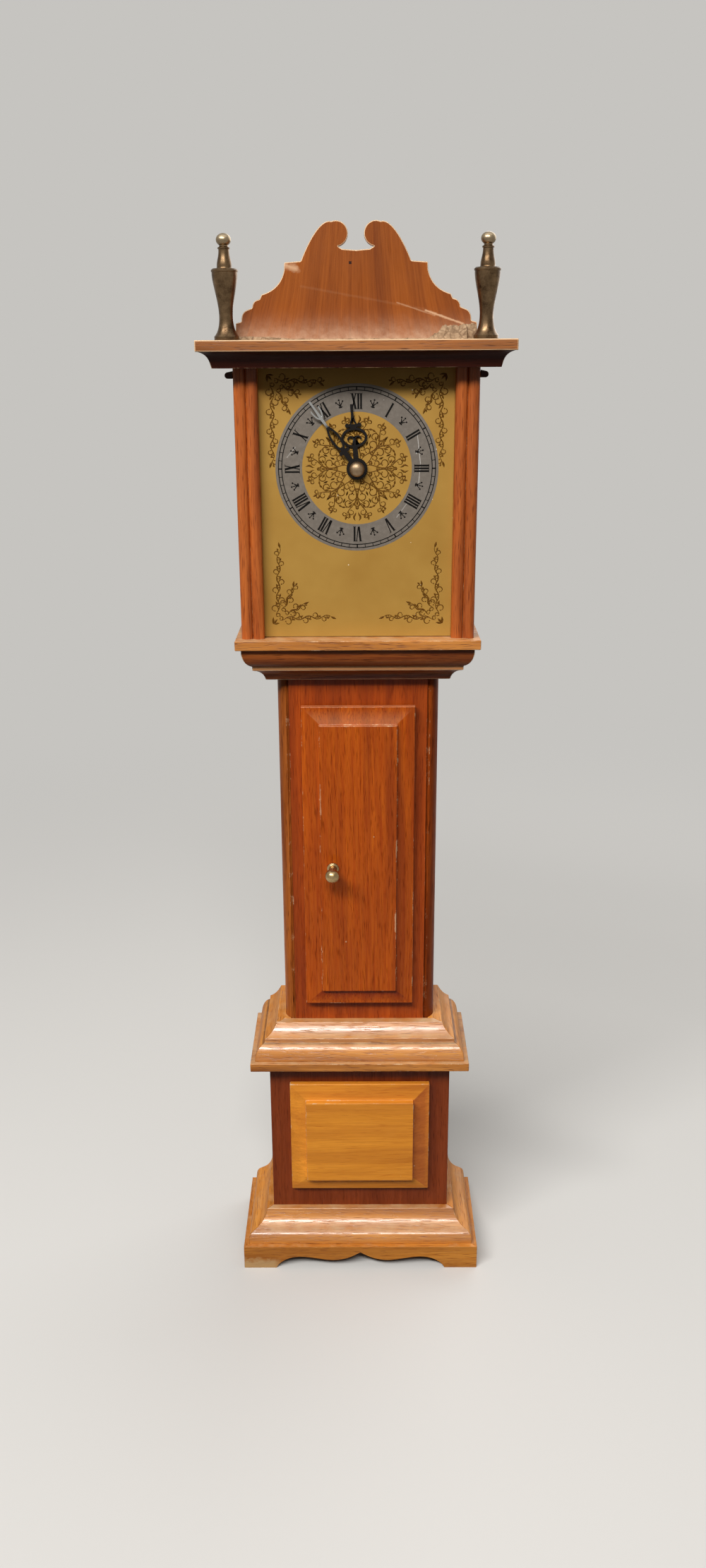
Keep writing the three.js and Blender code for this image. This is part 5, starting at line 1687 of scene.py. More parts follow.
@dataclass
class Door(SubAssembly):
    """The trunk door with its turned knob, its hinges and their screws."""

    ease: float = 0.34
    leaf_ease: float = 0.06
    leaf: float = 0.45
    flange: float = 2.35
    flange_thick: float = 0.9
    flange_arris: float = 0.12
    flange_round: float = 0.2
    flange_lip: float = 0.25
    cove_drop: float = 0.1
    neck: float = 1.5
    neck_from: float = 1.9
    neck_to: float = 5.2
    reach: float = 8.2
    ball: float = 2.9
    ball_from: float = -56
    screw: float = 0.85
    screw_chamfer: float = 0.08
    screw_sunk: float = 0.2
    screw_proud: float = 0.035
    screw_inset: float = 1.9
    screw_apart: float = 7.2
    slot_wide: float = 0.28
    slot_deep: float = 0.24
    slot_turn: float = 35
    slot_twist: float = 40

    def knob_profile(self) -> list[Point]:
        """Gives the knob's turned outline, from the door outwards.

        Returns:
            Radius and height of each ring.
        """
        wide, thick = self.flange, self.flange_thick
        brim, lip = (wide, thick - self.flange_round), (wide - self.flange_lip, thick)
        foot = [(wide - self.flange_arris, 0.0), (wide, self.flange_arris), brim]
        cove = curve_points(brim, (wide, thick), lip)
        cove += curve_points(lip, (self.neck, thick + self.cove_drop), (self.neck, self.neck_from), steps=6)
        ball = arc_points((0.0, self.reach), self.ball, self.ball, self.ball_from, Bench.NEAR_POLE, 22)
        return foot + cove + [(self.neck, self.neck_to)] + ball

    def screw_head(self, spot: Vector, facing: Facing, turn: float) -> Piece:
        """Turns one slotted screw head.

        Args:
            spot: Where it stands, in metres.
            facing: The way it looks.
            turn: How far its slot is turned, in degrees.

        Returns:
            The head.
        """
        rings = [(self.screw, -self.screw_sunk), (self.screw, 0.0)]
        rings.append((self.screw - self.screw_chamfer, self.screw_proud))
        head = Bench.turn("screw_head", rings, spot, facing, 28)
        Bench.clear()
        bpy.ops.mesh.primitive_cube_add(size=1, location=spot, rotation=(0, math.radians(turn), 0))
        slot = bpy.context.object
        slot.scale = (3 * self.screw * MM, self.slot_deep * MM, self.slot_wide * MM)
        Bench.modify(head, "BOOLEAN", object=slot)
        Bench.pick(slot)
        bpy.ops.object.delete()
        return head

    def screws(self, label: str, leaf: str, body: str, facing: Facing) -> None:
        """Sets two slotted screws flush into a hinge leaf.

        Args:
            label: Which hinge, upper or lower.
            leaf: Which leaf, case or door.
            body: The CAD body that carries the leaf.
            facing: The way the heads look.
        """
        low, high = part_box(f"hinge_{label}_{leaf}_leaf")
        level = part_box(f"hinge_{label}_case_leaf")[1].y - self.leaf * MM
        if facing is Facing.BACK:
            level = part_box("trunk_door")[1].y + self.leaf * MM
        middle = Vector((low.x + self.screw_inset * MM, level, (low.z + high.z) / 2))
        heads = []
        for step in (-1, 1):
            spot = middle + Vector((0.0, 0.0, step * self.screw_apart / 2 * MM))
            heads.append(self.screw_head(spot, facing, self.slot_turn + self.slot_twist * step))
        self.settle(Bench.join(f"hinge_{label}_{leaf}_screws", heads), body, SCREW_BRASS)

    def build(self) -> None:
        """Dresses the door, turns its knob and finishes its hinges."""
        self.joiner(["trunk_door"], DOOR_ORANGE, self.ease, DOOR)
        foot = seat("door_knob", Facing.FRONT)
        knob = Bench.turn("door_knob_turned", self.knob_profile(), foot, Facing.FRONT, 48)
        self.settle(knob, DOOR, KNOB_BRASS, ["door_knob"])
        for label in ("upper", "lower"):
            self.joiner([f"hinge_{label}_case_leaf"], HINGE_BRASS, self.leaf_ease, CASE, "brass")
            self.joiner([f"hinge_{label}_door_leaf"], HINGE_BRASS, self.leaf_ease, DOOR, "brass")
            self.screws(label, "case", CASE, Facing.FRONT)
            self.screws(label, "door", DOOR, Facing.BACK)


@dataclass(frozen=True)
class FinialSizes:
    """Sizes of a turned finial in millimetres."""

    base: float = 4.3
    arris: float = 0.15
    foot: float = 7.7
    waist: float = 2.35
    urn: float = 4.55
    urn_height: float = 14.1
    disc: float = 4.6
    disc_thick: float = 1.1
    disc_arris: float = 0.12
    cap: float = 4.0
    cap_arris: float = 0.1
    step: float = 2.8
    column: float = 1.8
    column_foot: float = 2.55
    column_height: float = 6.9
    bead: float = 0.28
    neck: float = 1.5
    neck_height: float = 0.4
    ball: float = 2.55
    ball_half: float = 2.1

    def lower(self) -> list[Point]:
        """Gives the outline of the spreading foot and the urn.

        Returns:
            Radius and height of each ring.
        """
        shoulder = self.foot + self.urn_height
        edge = (self.base, 0.15 * self.foot)
        points = [(self.base - self.arris, 0.0), (self.base, self.arris), edge]
        points += curve_points(edge, (self.waist, 0.4 * self.foot), (self.waist, self.foot), steps=14)
        points += curve_points(
            (self.waist, self.foot),
            (self.waist, self.foot + 0.35 * self.urn_height),
            (self.urn, self.foot + 0.75 * self.urn_height),
            (0.96 * self.urn, shoulder),
            steps=20,
        )
        return points

    def upper(self) -> list[Point]:
        """Gives the outline of the disc, the column and the ball.

        Returns:
            Radius and height of each ring.
        """
        shoulder = self.foot + self.urn_height
        top = shoulder + self.disc_thick
        head = top + self.column_height
        rim = self.disc - self.disc_arris
        points = [(rim, shoulder), (self.disc, shoulder + self.disc_arris)]
        points += [(self.disc, shoulder + 0.55 * self.disc_thick), (rim, shoulder + 0.65 * self.disc_thick)]
        points += [(self.cap + self.cap_arris, top - 0.08), (self.cap, top), (self.step, top)]
        root = (self.column_foot, top + 0.6)
        points += curve_points((self.step, top), (self.column_foot, top + 0.1), root, steps=4)
        taper = ((self.column_foot, top + 2.6), (self.column, top + 3.4), (self.column, head - 0.9))
        points += curve_points(root, *taper, steps=14)
        bead = self.column + self.bead
        points += [(bead, head - 0.75), (bead, head - 0.35), (self.neck, head)]
        start = -math.degrees(math.acos(self.neck / self.ball))
        middle = head + self.neck_height - self.ball_half * math.sin(math.radians(start))
        return points + arc_points((0.0, middle), self.ball, self.ball_half, start, Bench.NEAR_POLE, 22)


@dataclass(frozen=True)
class RidgeSizes:
    """Sizes of the ridge of old glue and dust along the pediment's foot in millimetres."""

    inset: float = 0.6
    least: float = 0.02
    skin: float = 0.02
    lump_from: float = 25.0
    lump_slope: float = 5.5
    lump_length: float = 17.0
    lump_height: float = 4.9
    lump_depth: float = 1.9
    end_from: float = 38.5
    end_depth: float = 0.6
    drift_base: float = 0.25
    drift_height: float = 0.9
    drift_middle: float = -37.0
    drift_half: float = 11.0

    def lump(self, x: float) -> float:
        """Gives the share of the full lump at a place across."""
        past = x - self.lump_from
        return min(1.0, max(0.0, past / self.lump_slope)) * (0.72 + 0.28 * past / self.lump_length)

    def height(self, x: float, out: float) -> float:
        """Gives the ridge's height.

        Args:
            x: Place across.
            out: Share of the way from the pediment out to the ridge's edge.

        Returns:
            The height.
        """
        drift = self.drift_height * math.exp(-(((x - self.drift_middle) / self.drift_half) ** 2))
        drift = self.drift_base + drift + 0.35 * noise.noise(Vector((0.25 * x, 2.0, 0.0)))
        coarse = noise.noise(Vector((0.55 * x, 2.0 * out, 7.0)))
        fine = noise.noise(Vector((1.6 * x, 5.0 * out, 3.0)))
        tall = max(0.05, drift + self.lump_height * self.lump(x)) * (1 + 0.28 * (coarse + 0.5 * fine))
        return max(self.least, tall * max(0.0, 1 - out**1.6))

    def depth(self, x: float) -> float:
        """Gives how far the ridge reaches out from the pediment at a place across."""
        full = self.lump_depth if x < self.end_from else self.end_depth
        return self.end_depth + full * self.lump(x) + 0.3 * noise.noise(Vector((0.6 * x, 9.0, 1.0)))


@dataclass
class Crest(SubAssembly):
    """The pediment, the debris at its foot and the two finials."""

    ease: float = 0.4
    finial: FinialSizes = FinialSizes()
    ridge: RidgeSizes = RidgeSizes()

    def debris(self) -> Piece:
        """Piles old glue and dust along the pediment's foot, highest at the right.

        Returns:
            The ridge.
        """
        low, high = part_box("pediment")
        Bench.clear()
        bpy.ops.mesh.primitive_grid_add(x_subdivisions=150, y_subdivisions=8, size=1)
        made = bpy.context.object
        made.name = "foot_debris"
        half = high.x / MM - self.ridge.inset
        for vertex in made.data.vertices:
            x, out = 2 * half * vertex.co.x, 0.5 - vertex.co.y
            deep, tall = self.ridge.depth(x), self.ridge.height(x, out)
            vertex.co = (x * MM, low.y - out * deep * MM, low.z + tall * MM)
        Bench.modify(made, "SOLIDIFY", thickness=self.ridge.skin * MM)
        Bench.smooth(made, 50)
        return made

    def build(self) -> None:
        """Dresses the pediment, piles the debris at its foot and turns the finials."""
        self.joiner(["pediment"], CREST, self.ease)
        self.settle(self.debris(), CASE, Debris())
        profile = self.finial.lower() + self.finial.upper()
        left = Bench.turn("finial_left_turned", profile, seat("finial_left", Facing.UP), Facing.UP)
        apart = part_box("finial_right")[0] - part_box("finial_left")[0]
        right = Bench.shift(left, "finial_right_turned", apart)
        self.settle(left, CASE, AGED_BRASS, ["finial_left"])
        self.settle(right, CASE, AGED_BRASS, ["finial_right"])


@dataclass(frozen=True)
class Tendril:
    """One drawn stroke of the scrollwork, in millimetres and degrees.

    It starts at a place with a heading, turns by a total angle that tightens along it, and may sway.
    """

    start: Point
    heading: float
    length: float
    turn: float = 0.0
    tighten: float = 1.0
    sway: float = 0.0
    sways: float = 1.0
    thick: float = 0.28
    leaf: bool = False

    FINE = 40
    BUD_LEAN = 46
    STALK = 0.4
    STALK_CURL = 24
    LEAF_CURL = 16
    SHOOT_LEAN = 12
    LEAFY = 3.4

    def trace(self, steps: int) -> list[tuple[float, float, float]]:
        """Follows the stroke.

        Args:
            steps: Number of steps along it.

        Returns:
            Place and heading at each step.
        """
        x, y = self.start
        made = []
        for i in range(steps + 1):
            t = i / steps
            swing = self.sway * math.sin(2 * math.pi * self.sways * t)
            heading = self.heading + self.turn * t**self.tighten + swing
            made.append((x, y, heading))
            x += self.length / steps * math.cos(math.radians(heading))
            y += self.length / steps * math.sin(math.radians(heading))
        return made

    def at(self, t: float) -> tuple[Point, float]:
        """Gives the place and the heading at a share of the way along the stroke."""
        x, y, heading = self.trace(self.FINE)[round(self.FINE * t)]
        return (x, y), heading

    def widths(self, steps: int) -> list[float]:
        """Gives the stroke's half width at each step.

        Args:
            steps: Number of steps along it.

        Returns:
            The half widths, which swell more in a leaf.
        """
        swells = [math.sin(math.pi * i / steps) for i in range(steps + 1)]
        if self.leaf:
            return [self.thick * (0.08 + 0.92 * swell**1.2) for swell in swells]
        return [self.thick * (0.36 + 0.34 * swell) for swell in swells]

    def bud(self, t: float, side: int, length: float) -> list["Tendril"]:
        """Grows a leaf on a short stalk out of the stroke.

        Args:
            t: How far along the stroke it starts, from 0 to 1.
            side: 1 for the left of the stroke and -1 for the right.
            length: Length of the leaf.

        Returns:
            The stalk and the leaf.
        """
        place, heading = self.at(t)
        stalk = Tendril(place, heading + side * self.BUD_LEAN, self.STALK * length, -side * self.STALK_CURL)
        x, y, heading = stalk.trace(8)[-1]
        return [stalk, Tendril((x, y), heading, length, -side * self.LEAF_CURL, thick=0.34, leaf=True)]

    def shoot(self, t: float, side: int, length: float, turn: float = 285.0) -> list["Tendril"]:
        """Grows an open curl out of the stroke.

        Args:
            t: How far along the stroke it starts, from 0 to 1.
            side: 1 for the left of the stroke and -1 for the right.
            length: Length of the curl.
            turn: How far the curl turns.

        Returns:
            The curl, the bead at its end and, on a long one, a leaf.
        """
        place, heading = self.at(t)
        curl = Tendril(place, heading + side * self.SHOOT_LEAN, length, side * turn, 1.3)
        place, heading = curl.at(1.0)
        bead = Tendril(place, heading, 0.6, side * 40, thick=0.26, leaf=True)
        return [curl, bead] + (curl.bud(0.3, -side, 0.24 * length + 0.2) if length > self.LEAFY else [])


@dataclass
class Dial(SubAssembly):
    """The dial sheet with its chapter ring, numerals and scrollwork."""

    sheet_ease: float = 0.05
    board_ease: float = 0.1
    centre: float = 342.1
    ring_outer: float = 29.5
    ring_inner: float = 19.85
    track_outer: float = 28.4
    track_inner: float = 27.2
    track_line: float = 0.16
    minute_wide: float = 0.22
    hour_wide: float = 0.44
    numeral_foot: float = 20.7
    numeral_head: float = 26.1
    stem: float = 0.66
    thick: float = 0.7
    thickest: float = 0.72
    thin: float = 0.34
    serif_wide: float = 0.98
    serif_tall: float = 0.16
    mark_radius: float = 22.1
    ink: float = 0.02
    flat: float = 0.06
    corner_x: float = 32.6
    corner_low: float = 284.6
    corner_high: float = 375.4
    stem_sway: float = 32
    stem_wave: float = 8.0
    outer_start: float = 1.4
    inner_start: float = 4.4
    curl: float = 6.2
    back_curl: float = 2.8
    tip: float = 2.4
    face: float = field(default=0.0, init=False)

    LOW_ARMS = ((2, 22.0), (27, 12.5), (63, 15.0), (88, 29.0))
    HIGH_ARMS = ((2, 18.5), (27, 10.5), (63, 12.5), (91, 31.0))
    SPRIG_CURLS = (
        (0.1, 1, 2.6),
        (0.22, 1, 4.6),
        (0.3, -1, 2.6),
        (0.44, 1, 6.6),
        (0.6, -1, 4.4),
        (0.73, 1, 6.2),
        (0.84, -1, 4.6),
        (0.97, 1, 3.2),
        (0.99, -1, 3.2),
    )
    NUMERALS = ("XII", "I", "II", "III", "IIII", "V", "VI", "VII", "VIII", "IX", "X", "XI")
    LETTER_WIDTHS = {"I": 0.98, "V": 1.95, "X": 2.15}
    SERIFS = {"I": (0.0,), "V": (-0.42, 0.42), "X": (-0.36, 0.36)}

    def __post_init__(self) -> None:
        """Finds the depth of the sheet's face, in metres."""
        self.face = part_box("dial_plate")[0].y

    def stand(self, made: Piece, layer: int, flat: float = 1.0) -> Piece:
        """Stands a drawing up on the dial's face.

        Args:
            made: The drawing, on the ground in millimetres about the dial's centre.
            layer: How many layers of ink lie under it.
            flat: Share of its thickness that is left.

        Returns:
            The drawing on the dial.
        """
        made.scale = (MM, MM, flat * MM)
        made.rotation_euler = Facing.FRONT.value
        made.location = (0.0, self.face - layer * self.ink * MM, self.centre * MM)
        Bench.fix(made)
        return made

    def lay(self, made: Piece, layer: int) -> Piece:
        """Stands a flat drawing up on the dial and gives it the thickness of ink."""
        Bench.modify(self.stand(made, layer), "SOLIDIFY", thickness=self.ink * MM, offset=1.0)
        return made

    @staticmethod
    def bar(middle: Point, across: float, length: float, angle: float) -> Piece:
        """Adds one flat bar.

        Args:
            middle: Its middle.
            across: Its width.
            length: Its length.
            angle: How far it leans from upright, in degrees to the left.

        Returns:
            The bar.
        """
        Bench.clear()
        bpy.ops.mesh.primitive_plane_add(size=1, location=(*middle, 0), rotation=(0, 0, math.radians(angle)))
        made = bpy.context.object
        made.scale = (across, length, 1)
        return made

    @staticmethod
    def band(outer: float, inner: float, steps: int = 180) -> Piece:
        """Adds a flat ring that looks up, by bridging two circles.

        Args:
            outer: Outer radius.
            inner: Inner radius.
            steps: Steps round it.

        Returns:
            The ring.
        """
        Bench.clear()
        bpy.ops.mesh.primitive_circle_add(vertices=steps, radius=outer)
        made = bpy.context.object
        bpy.ops.object.mode_set(mode="EDIT")
        bpy.ops.mesh.primitive_circle_add(vertices=steps, radius=inner)
        bpy.ops.mesh.select_all(action="SELECT")
        bpy.ops.mesh.bridge_edge_loops()
        bpy.ops.mesh.normals_make_consistent(inside=False)
        bpy.ops.object.mode_set(mode="OBJECT")
        if made.data.polygons[0].normal.z < 0:
            made.data.flip_normals()
        return made

    def letter(self, letter: str, tall: float) -> list[Stroke]:
        """Draws one letter of a numeral about its middle.

        Args:
            letter: The letter.
            tall: Its height.

        Returns:
            Place across and up, width, length and lean in degrees of each stroke.
        """
        wide = self.LETTER_WIDTHS[letter]
        lean = math.degrees(math.atan2(wide - 0.9, tall))
        strokes = {
            "I": [(0.0, 0.0, self.stem, tall, 0.0)],
            "V": [
                (-0.22 * wide, 0.0, self.thick, tall, 0.6 * lean),
                (0.22 * wide, 0.0, self.thin, tall, -0.6 * lean),
            ],
            "X": [
                (0.0, 0.0, self.thickest, 1.03 * tall, lean),
                (0.0, 0.0, self.thin, 1.03 * tall, -lean),
            ],
        }[letter]
        for end in (1,) if letter == "V" else (1, -1):
            level = end * (tall - self.serif_tall) / 2
            for share in self.SERIFS[letter]:
                strokes.append((share * wide, level, self.serif_wide, self.serif_tall, 0.0))
        return strokes

    def numeral(self, word: str, hour: int) -> list[Piece]:
        """Draws one Roman numeral with thick and thin strokes, its feet to the centre.

        Args:
            word: The numeral's letters.
            hour: The hour that it stands at.

        Returns:
            Its bars.
        """
        tall = self.numeral_head - self.numeral_foot
        middle = (self.numeral_head + self.numeral_foot) / 2
        turn = -30.0 * hour
        made = []
        x = -sum(self.LETTER_WIDTHS[letter] for letter in word) / 2
        for letter in word:
            wide = self.LETTER_WIDTHS[letter]
            for dx, dy, across, length, angle in self.letter(letter, tall):
                spot = Matrix.Rotation(math.radians(turn), 2) @ Vector((x + wide / 2 + dx, middle + dy))
                made.append(self.bar((spot.x, spot.y), across, length, angle + turn))
            x += wide
        return made

    def minute_track(self) -> list[Piece]:
        """Draws the minutes between two thin rings.

        Returns:
            The bars and the rings.
        """
        middle = (self.track_outer + self.track_inner) / 2
        made = []
        for minute in range(60):
            turn = math.radians(-6 * minute)
            spot = (-middle * math.sin(turn), middle * math.cos(turn))
            wide = self.hour_wide if minute % 5 == 0 else self.minute_wide
            made.append(self.bar(spot, wide, self.track_outer - self.track_inner, math.degrees(turn)))
        for radius in (self.track_outer, self.track_inner):
            made.append(self.band(radius + self.track_line, radius - self.track_line))
        return made

    def half_hour_marks(self) -> list[tuple[Tendril, Matrix]]:
        """Draws three beads on stalks over a bar, between the hours.

        Returns:
            Every stroke with its transform.
        """
        base = self.mark_radius
        mark = [Tendril((-0.7, base), 0, 1.4, thick=0.4), Tendril((-0.45, base + 0.5), 0, 0.9, thick=0.34)]
        for heading, tall in ((90, 1.7), (130, 1.5), (50, 1.5)):
            stalk = Tendril((0.0, base + 0.4), heading, tall, thick=0.26)
            x, y, _ = stalk.trace(8)[-1]
            mark += [stalk, Tendril((x, y), heading, 0.75, thick=0.34, leaf=True)]
        turns = [Matrix.Rotation(math.radians(-15 - 30 * k), 4, "Z") for k in range(12)]
        return [(stroke, turn) for turn in turns for stroke in mark]

    def centre_sprig(self, tongues: bool) -> list[Tendril]:
        """Draws half of one of the eight sprigs inside the ring, beside the sprig's middle line.

        Args:
            tongues: Whether wavy tongues stand at the sprig's end.

        Returns:
            The strokes, with the sprig pointing along x.
        """
        vine = Tendril((3.2, 1.1), 12, 14.6, sway=-30, thick=0.32)
        made = [vine]
        for t, side, length in self.SPRIG_CURLS:
            made += vine.shoot(t, side, length)
        for t, side in ((0.52, -1), (0.66, 1)):
            made += vine.bud(t, side, 1.7)
        made.append(Tendril(*vine.at(1.0), 1.9, thick=0.38, leaf=True))
        edge = 22.5
        for reach in (8.6, 11.4):
            spot = (reach * math.cos(math.radians(edge)), reach * math.sin(math.radians(edge)))
            made.append(Tendril(spot, edge, 1.8, thick=0.34, leaf=True))
        if tongues:
            made.append(Tendril((15.4, 0.45), 4, 3.6, sway=34, thick=0.36, leaf=True))
        else:
            made.append(Tendril((13.6, 0.0), 0, 2.2, thick=0.4, leaf=True))
        return made

    def corner_spray(self, arms: Sequence[Point]) -> list[Tendril]:
        """Draws the scrollwork of a corner, a fan of waving stems with a curl in every bend.

        Args:
            arms: Heading in degrees and length of each stem.

        Returns:
            The strokes, with the corner at the origin.
        """
        made = [Tendril((0.7, 0.7), heading, 2.6, thick=0.4, leaf=True) for heading in (6, 45, 84)]
        for heading, length in arms:
            flip = 1 if heading < 45 else -1
            first = self.inner_start if 20 < heading < 70 else self.outer_start
            waves = max(0.8, length / self.stem_wave)
            way = math.radians(heading)
            root = (2.0 + first * math.cos(way), 2.0 + first * math.sin(way))
            stem = Tendril(root, heading, length - first, sway=self.stem_sway * flip, sways=waves, thick=0.32)
            made.append(stem)
            for bend in range(1, round(2 * waves) + 1):
                side = flip if bend % 2 == 0 else -flip
                start, back = (0.5 * bend - 0.24) / waves, (0.5 * bend - 0.4) / waves
                if start <= 1.0:
                    made += stem.shoot(start, side, self.curl * (1 - 0.4 * start))
                if back <= 1.0:
                    made += stem.shoot(back, -side, self.back_curl * (1 - 0.3 * back), 250)
            made.append(Tendril(*stem.at(1.0), self.tip, 12 * flip, thick=0.4, leaf=True))
        return made

    def scrollwork(self) -> list[tuple[Tendril, Matrix]]:
        """Places the centre and corner scrollwork.

        Returns:
            Every stroke with its transform.
        """
        placed = []
        flip = Matrix.Scale(-1, 4, (0, 1, 0))
        for eighth in range(8):
            turn = Matrix.Rotation(eighth * math.pi / 4, 4, "Z")
            for mirror in (Matrix.Identity(4), flip):
                placed += [(stroke, turn @ mirror) for stroke in self.centre_sprig(eighth % 2 == 0)]
        for side in (-1, 1):
            across = Matrix.Scale(-side, 4, (1, 0, 0))
            low = Matrix.Translation((side * self.corner_x, self.corner_low - self.centre, 0))
            high = Matrix.Translation((side * self.corner_x, self.corner_high - self.centre, 0))
            placed += [(stroke, low @ across) for stroke in self.corner_spray(self.LOW_ARMS)]
            placed += [(stroke, high @ across @ flip) for stroke in self.corner_spray(self.HIGH_ARMS)]
        return placed

    @staticmethod
    def draw(name: str, strokes: Sequence[tuple[Tendril, Matrix]]) -> Piece:
        """Draws strokes as one mesh.

        Args:
            name: Name of the drawing.
            strokes: Each stroke with the flat transform that places it.

        Returns:
            The drawing.
        """
        Bench.clear()
        shape = bpy.data.curves.new(name, "CURVE")
        shape.dimensions = "3D"
        shape.bevel_depth = 1.0
        shape.bevel_resolution = 0
        shape.use_fill_caps = True
        for stroke, place in strokes:
            steps = max(5, min(26, round(stroke.length * 1.6 + abs(stroke.turn) / 26)))
            line = shape.splines.new("POLY")
            line.points.add(steps)
            for point, (x, y, _), wide in zip(line.points, stroke.trace(steps), stroke.widths(steps)):
                point.co = (*(place @ Vector((x, y, 0.0))), 1.0)
                point.radius = wide
        made = bpy.data.objects.new(name, shape)
        bpy.context.scene.collection.objects.link(made)
        Bench.pick(made)
        bpy.ops.object.convert(target="MESH")
        return bpy.context.object

    def build(self) -> None:
        """Dresses the sheet and its board, and prints the dial."""
        self.joiner(["dial_plate"], DIAL_SHEET, self.sheet_ease, CASE, "sheet")
        self.joiner(["dial_board"], BARE_BOARD, self.board_ease, CASE, "board")
        ring = self.band(self.ring_outer, self.ring_inner)
        ring.name = "chapter_ring"
        self.settle(self.lay(ring, 0), CASE, RING_SILVER)
        bars = [bar for hour, word in enumerate(self.NUMERALS) for bar in self.numeral(word, hour)]
        bars += self.minute_track()
        self.settle(self.lay(Bench.join("dial_numerals", bars), 1), CASE, INK_BLACK)
        marks = self.draw("half_hour_marks", self.half_hour_marks())
        self.settle(self.stand(marks, 1, self.flat), CASE, INK_BLACK)
        scrolls = self.draw("dial_scrollwork", self.scrollwork())
        self.settle(self.stand(scrolls, 0, self.flat), CASE, INK_OLIVE)


@dataclass
class Hands(SubAssembly):
    """The two hands and the nut that holds them."""

    ease: float = 0.07
    nut_radius: float = 2.7
    nut_skirt: float = 0.9
    nut_height: float = 2.6
    nut_arris: float = 0.15
    nut_step: float = 0.1
    nut_round: float = 0.2

    def nut_profile(self) -> list[Point]:
        """Gives the nut's turned outline from the hand outwards.

        Returns:
            Radius and height of each ring.
        """
        wide, skirt, dome = self.nut_radius, self.nut_skirt, self.nut_radius - self.nut_step
        foot = [(wide - self.nut_arris, 0.0), (wide, self.nut_arris)]
        foot += [(wide, skirt - self.nut_round), (dome, skirt)]
        return foot + arc_points((0.0, skirt), dome, self.nut_height - skirt, 6, Bench.NEAR_POLE, 14)

    def build(self) -> None:
        """Lacquers the hands and turns the nut."""
        self.joiner(["hour_hand"], HOUR_LACQUER, self.ease, HOUR, "lacquered")
        self.joiner(["minute_hand"], MINUTE_LACQUER, self.ease, MINUTE, "lacquered")
        foot = seat("hand_nut", Facing.FRONT)
        nut = Bench.turn("hand_nut_turned", self.nut_profile(), foot, Facing.FRONT, 48)
        self.settle(nut, MINUTE, NUT_METAL, ["hand_nut"])


@dataclass
class Movement(SubAssembly):
    """The battery movement behind the dial."""

    case_ease: float = 0.2
    knob_ease: float = 0.1
    cell_ease: float = 0.15
    contact_ease: float = 0.05

    def build(self) -> None:
        """Eases the mouldings and finishes the works."""
        self.joiner(["movement_case", "movement_cover"], CASE_PLASTIC, self.case_ease, CASE, "moulded")
        self.joiner(["setting_knob"], PALE_PLASTIC, self.knob_ease, SETTING, "moulded")
        self.joiner(["battery"], CellSleeve(), self.cell_ease, CASE, "sleeved")
        contacts = ["battery_contact_minus", "battery_contact_plus"]
        self.joiner(contacts, CONTACT, self.contact_ease, CASE, "plated")
        self.keep(["hour_wheel", "setting_wheel"], PALE_PLASTIC)
        self.keep(["minute_arbor"], HINGE_BRASS)
        self.keep(["drive_coil"], Winding())


@dataclass(frozen=True)
class Lamp:
    """A soft lamp: its place in metres, its power in watts, and its width and height in metres."""

    name: str
    place: Way
    power: float
    size: Point

    def hang(self, target: Vector) -> None:
        """Hangs the lamp and aims it.

        Args:
            target: What it is aimed at, in metres.
        """
        Bench.clear()
        bpy.ops.object.light_add(type="AREA", location=self.place)
        lamp = bpy.context.object
        lamp.name = self.name
        lamp.data.energy = self.power
        lamp.data.shape = "RECTANGLE"
        lamp.data.size, lamp.data.size_y = self.size
        lamp.rotation_euler = (target - Vector(self.place)).to_track_quat("-Z", "Y").to_euler()


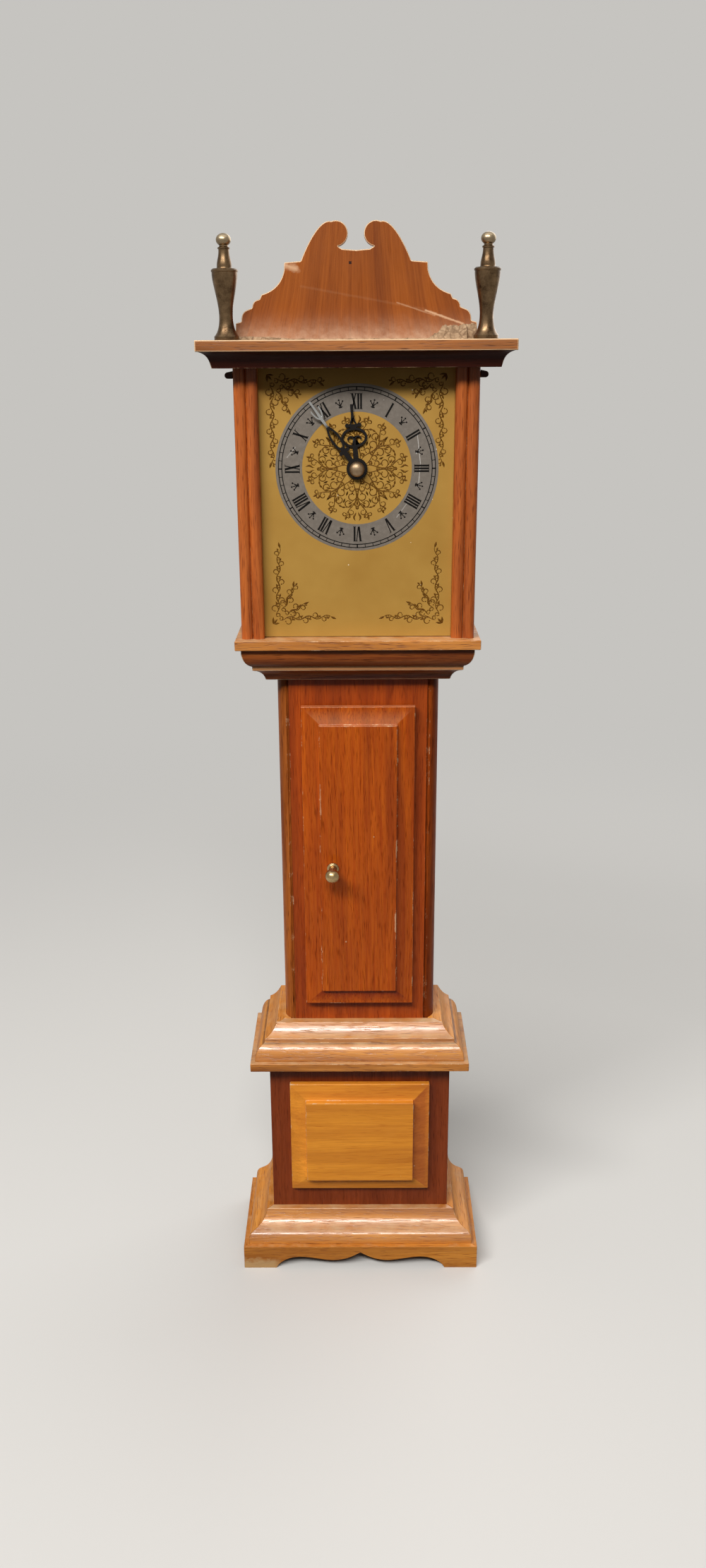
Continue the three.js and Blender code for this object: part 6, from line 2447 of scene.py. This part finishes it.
@dataclass
class Studio:
    """The pale paper, the lamps and the camera, which stands in millimetres and degrees."""

    shop: FinishShop
    paper_radius: float = 6.0
    paper_finish: Paper = Paper()
    dim: float = 0.08
    aim: Way = (0.0, 0.0, 0.22)
    lamps: tuple[Lamp, ...] = (
        Lamp("key_lamp", (-0.42, -1.0, 1.28), 31.0, (1.4, 0.24)),
        Lamp("top_lamp", (0.0, -0.3, 2.6), 16.0, (3.6, 2.0)),
        Lamp("back_lamp", (0.85, 1.15, 0.85), 13.0, (1.8, 1.2)),
    )
    camera_place: Way = (0.69, -482.05, 385.6)
    pitch: float = 19.21
    yaw: float = -0.34
    roll: float = -0.34
    focal_pixels: float = 1800.0
    image_height: float = 2222.0
    sensor: float = 36.0

    def paper(self) -> None:
        """Lays a wide disc of pale paper under the clock."""
        Bench.clear()
        size = {"vertices": 96, "radius": self.paper_radius}
        bpy.ops.mesh.primitive_circle_add(**size, fill_type="NGON", location=(0, 0, 0))
        made = bpy.context.object
        made.name = "studio_paper"
        self.shop.coat(made, self.paper_finish)

    def surroundings(self) -> None:
        """Surrounds the clock with the paper's tone, which gives only a little light."""
        world = bpy.data.worlds.new("studio_surroundings")
        world.use_nodes = True
        graph = Graph(world.node_tree)
        dim = (self.dim, self.dim, self.dim, 1.0)
        shown = graph.mix(graph.seen(), dim, linear(self.paper_finish.around))
        graph.feed(world.node_tree.nodes["Background"].inputs["Color"], shown)
        bpy.context.scene.world = world

    def camera(self) -> None:
        """Puts the camera where the photograph was taken from."""
        pitch, yaw, roll = (math.radians(angle) for angle in (self.pitch, self.yaw, self.roll))
        level = Vector((math.sin(yaw), math.cos(yaw), 0))
        forward = math.cos(pitch) * level - math.sin(pitch) * Vector((0, 0, 1))
        right = Vector((math.cos(yaw), -math.sin(yaw), 0))
        up = right.cross(forward)
        across = math.cos(roll) * right + math.sin(roll) * up
        over = -math.sin(roll) * right + math.cos(roll) * up
        Bench.clear()
        bpy.ops.object.camera_add()
        camera = bpy.context.object
        camera.name = "photo_camera"
        turn = Matrix((across, over, -forward)).transposed().to_4x4()
        camera.matrix_world = Matrix.Translation(Vector(self.camera_place) * MM) @ turn
        camera.data.sensor_width = self.sensor
        camera.data.sensor_fit = "AUTO"
        camera.data.lens = self.sensor * self.focal_pixels / self.image_height
        camera.data.clip_start = 0.01
        bpy.context.scene.camera = camera

    def build(self) -> None:
        """Sets up the whole studio."""
        self.paper()
        for lamp in self.lamps:
            lamp.hang(Vector(self.aim))
        self.surroundings()
        bpy.context.scene.view_settings.view_transform = "Standard"
        self.camera()


def main() -> None:
    """Builds every sub-assembly in order and reports its pieces."""
    logging.basicConfig(level=logging.INFO, format="%(name)s: %(message)s")
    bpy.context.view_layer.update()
    shop = FinishShop()
    Studio(shop).build()
    for group in (Case(shop), Door(shop), Crest(shop), Dial(shop), Hands(shop), Movement(shop)):
        group.build()
        for piece in group.pieces:
            LOG.info("%s: %s, %d faces", type(group).__name__, piece.name, len(piece.data.polygons))
    Bench.clear()


if __name__ == "__main__":
    main()
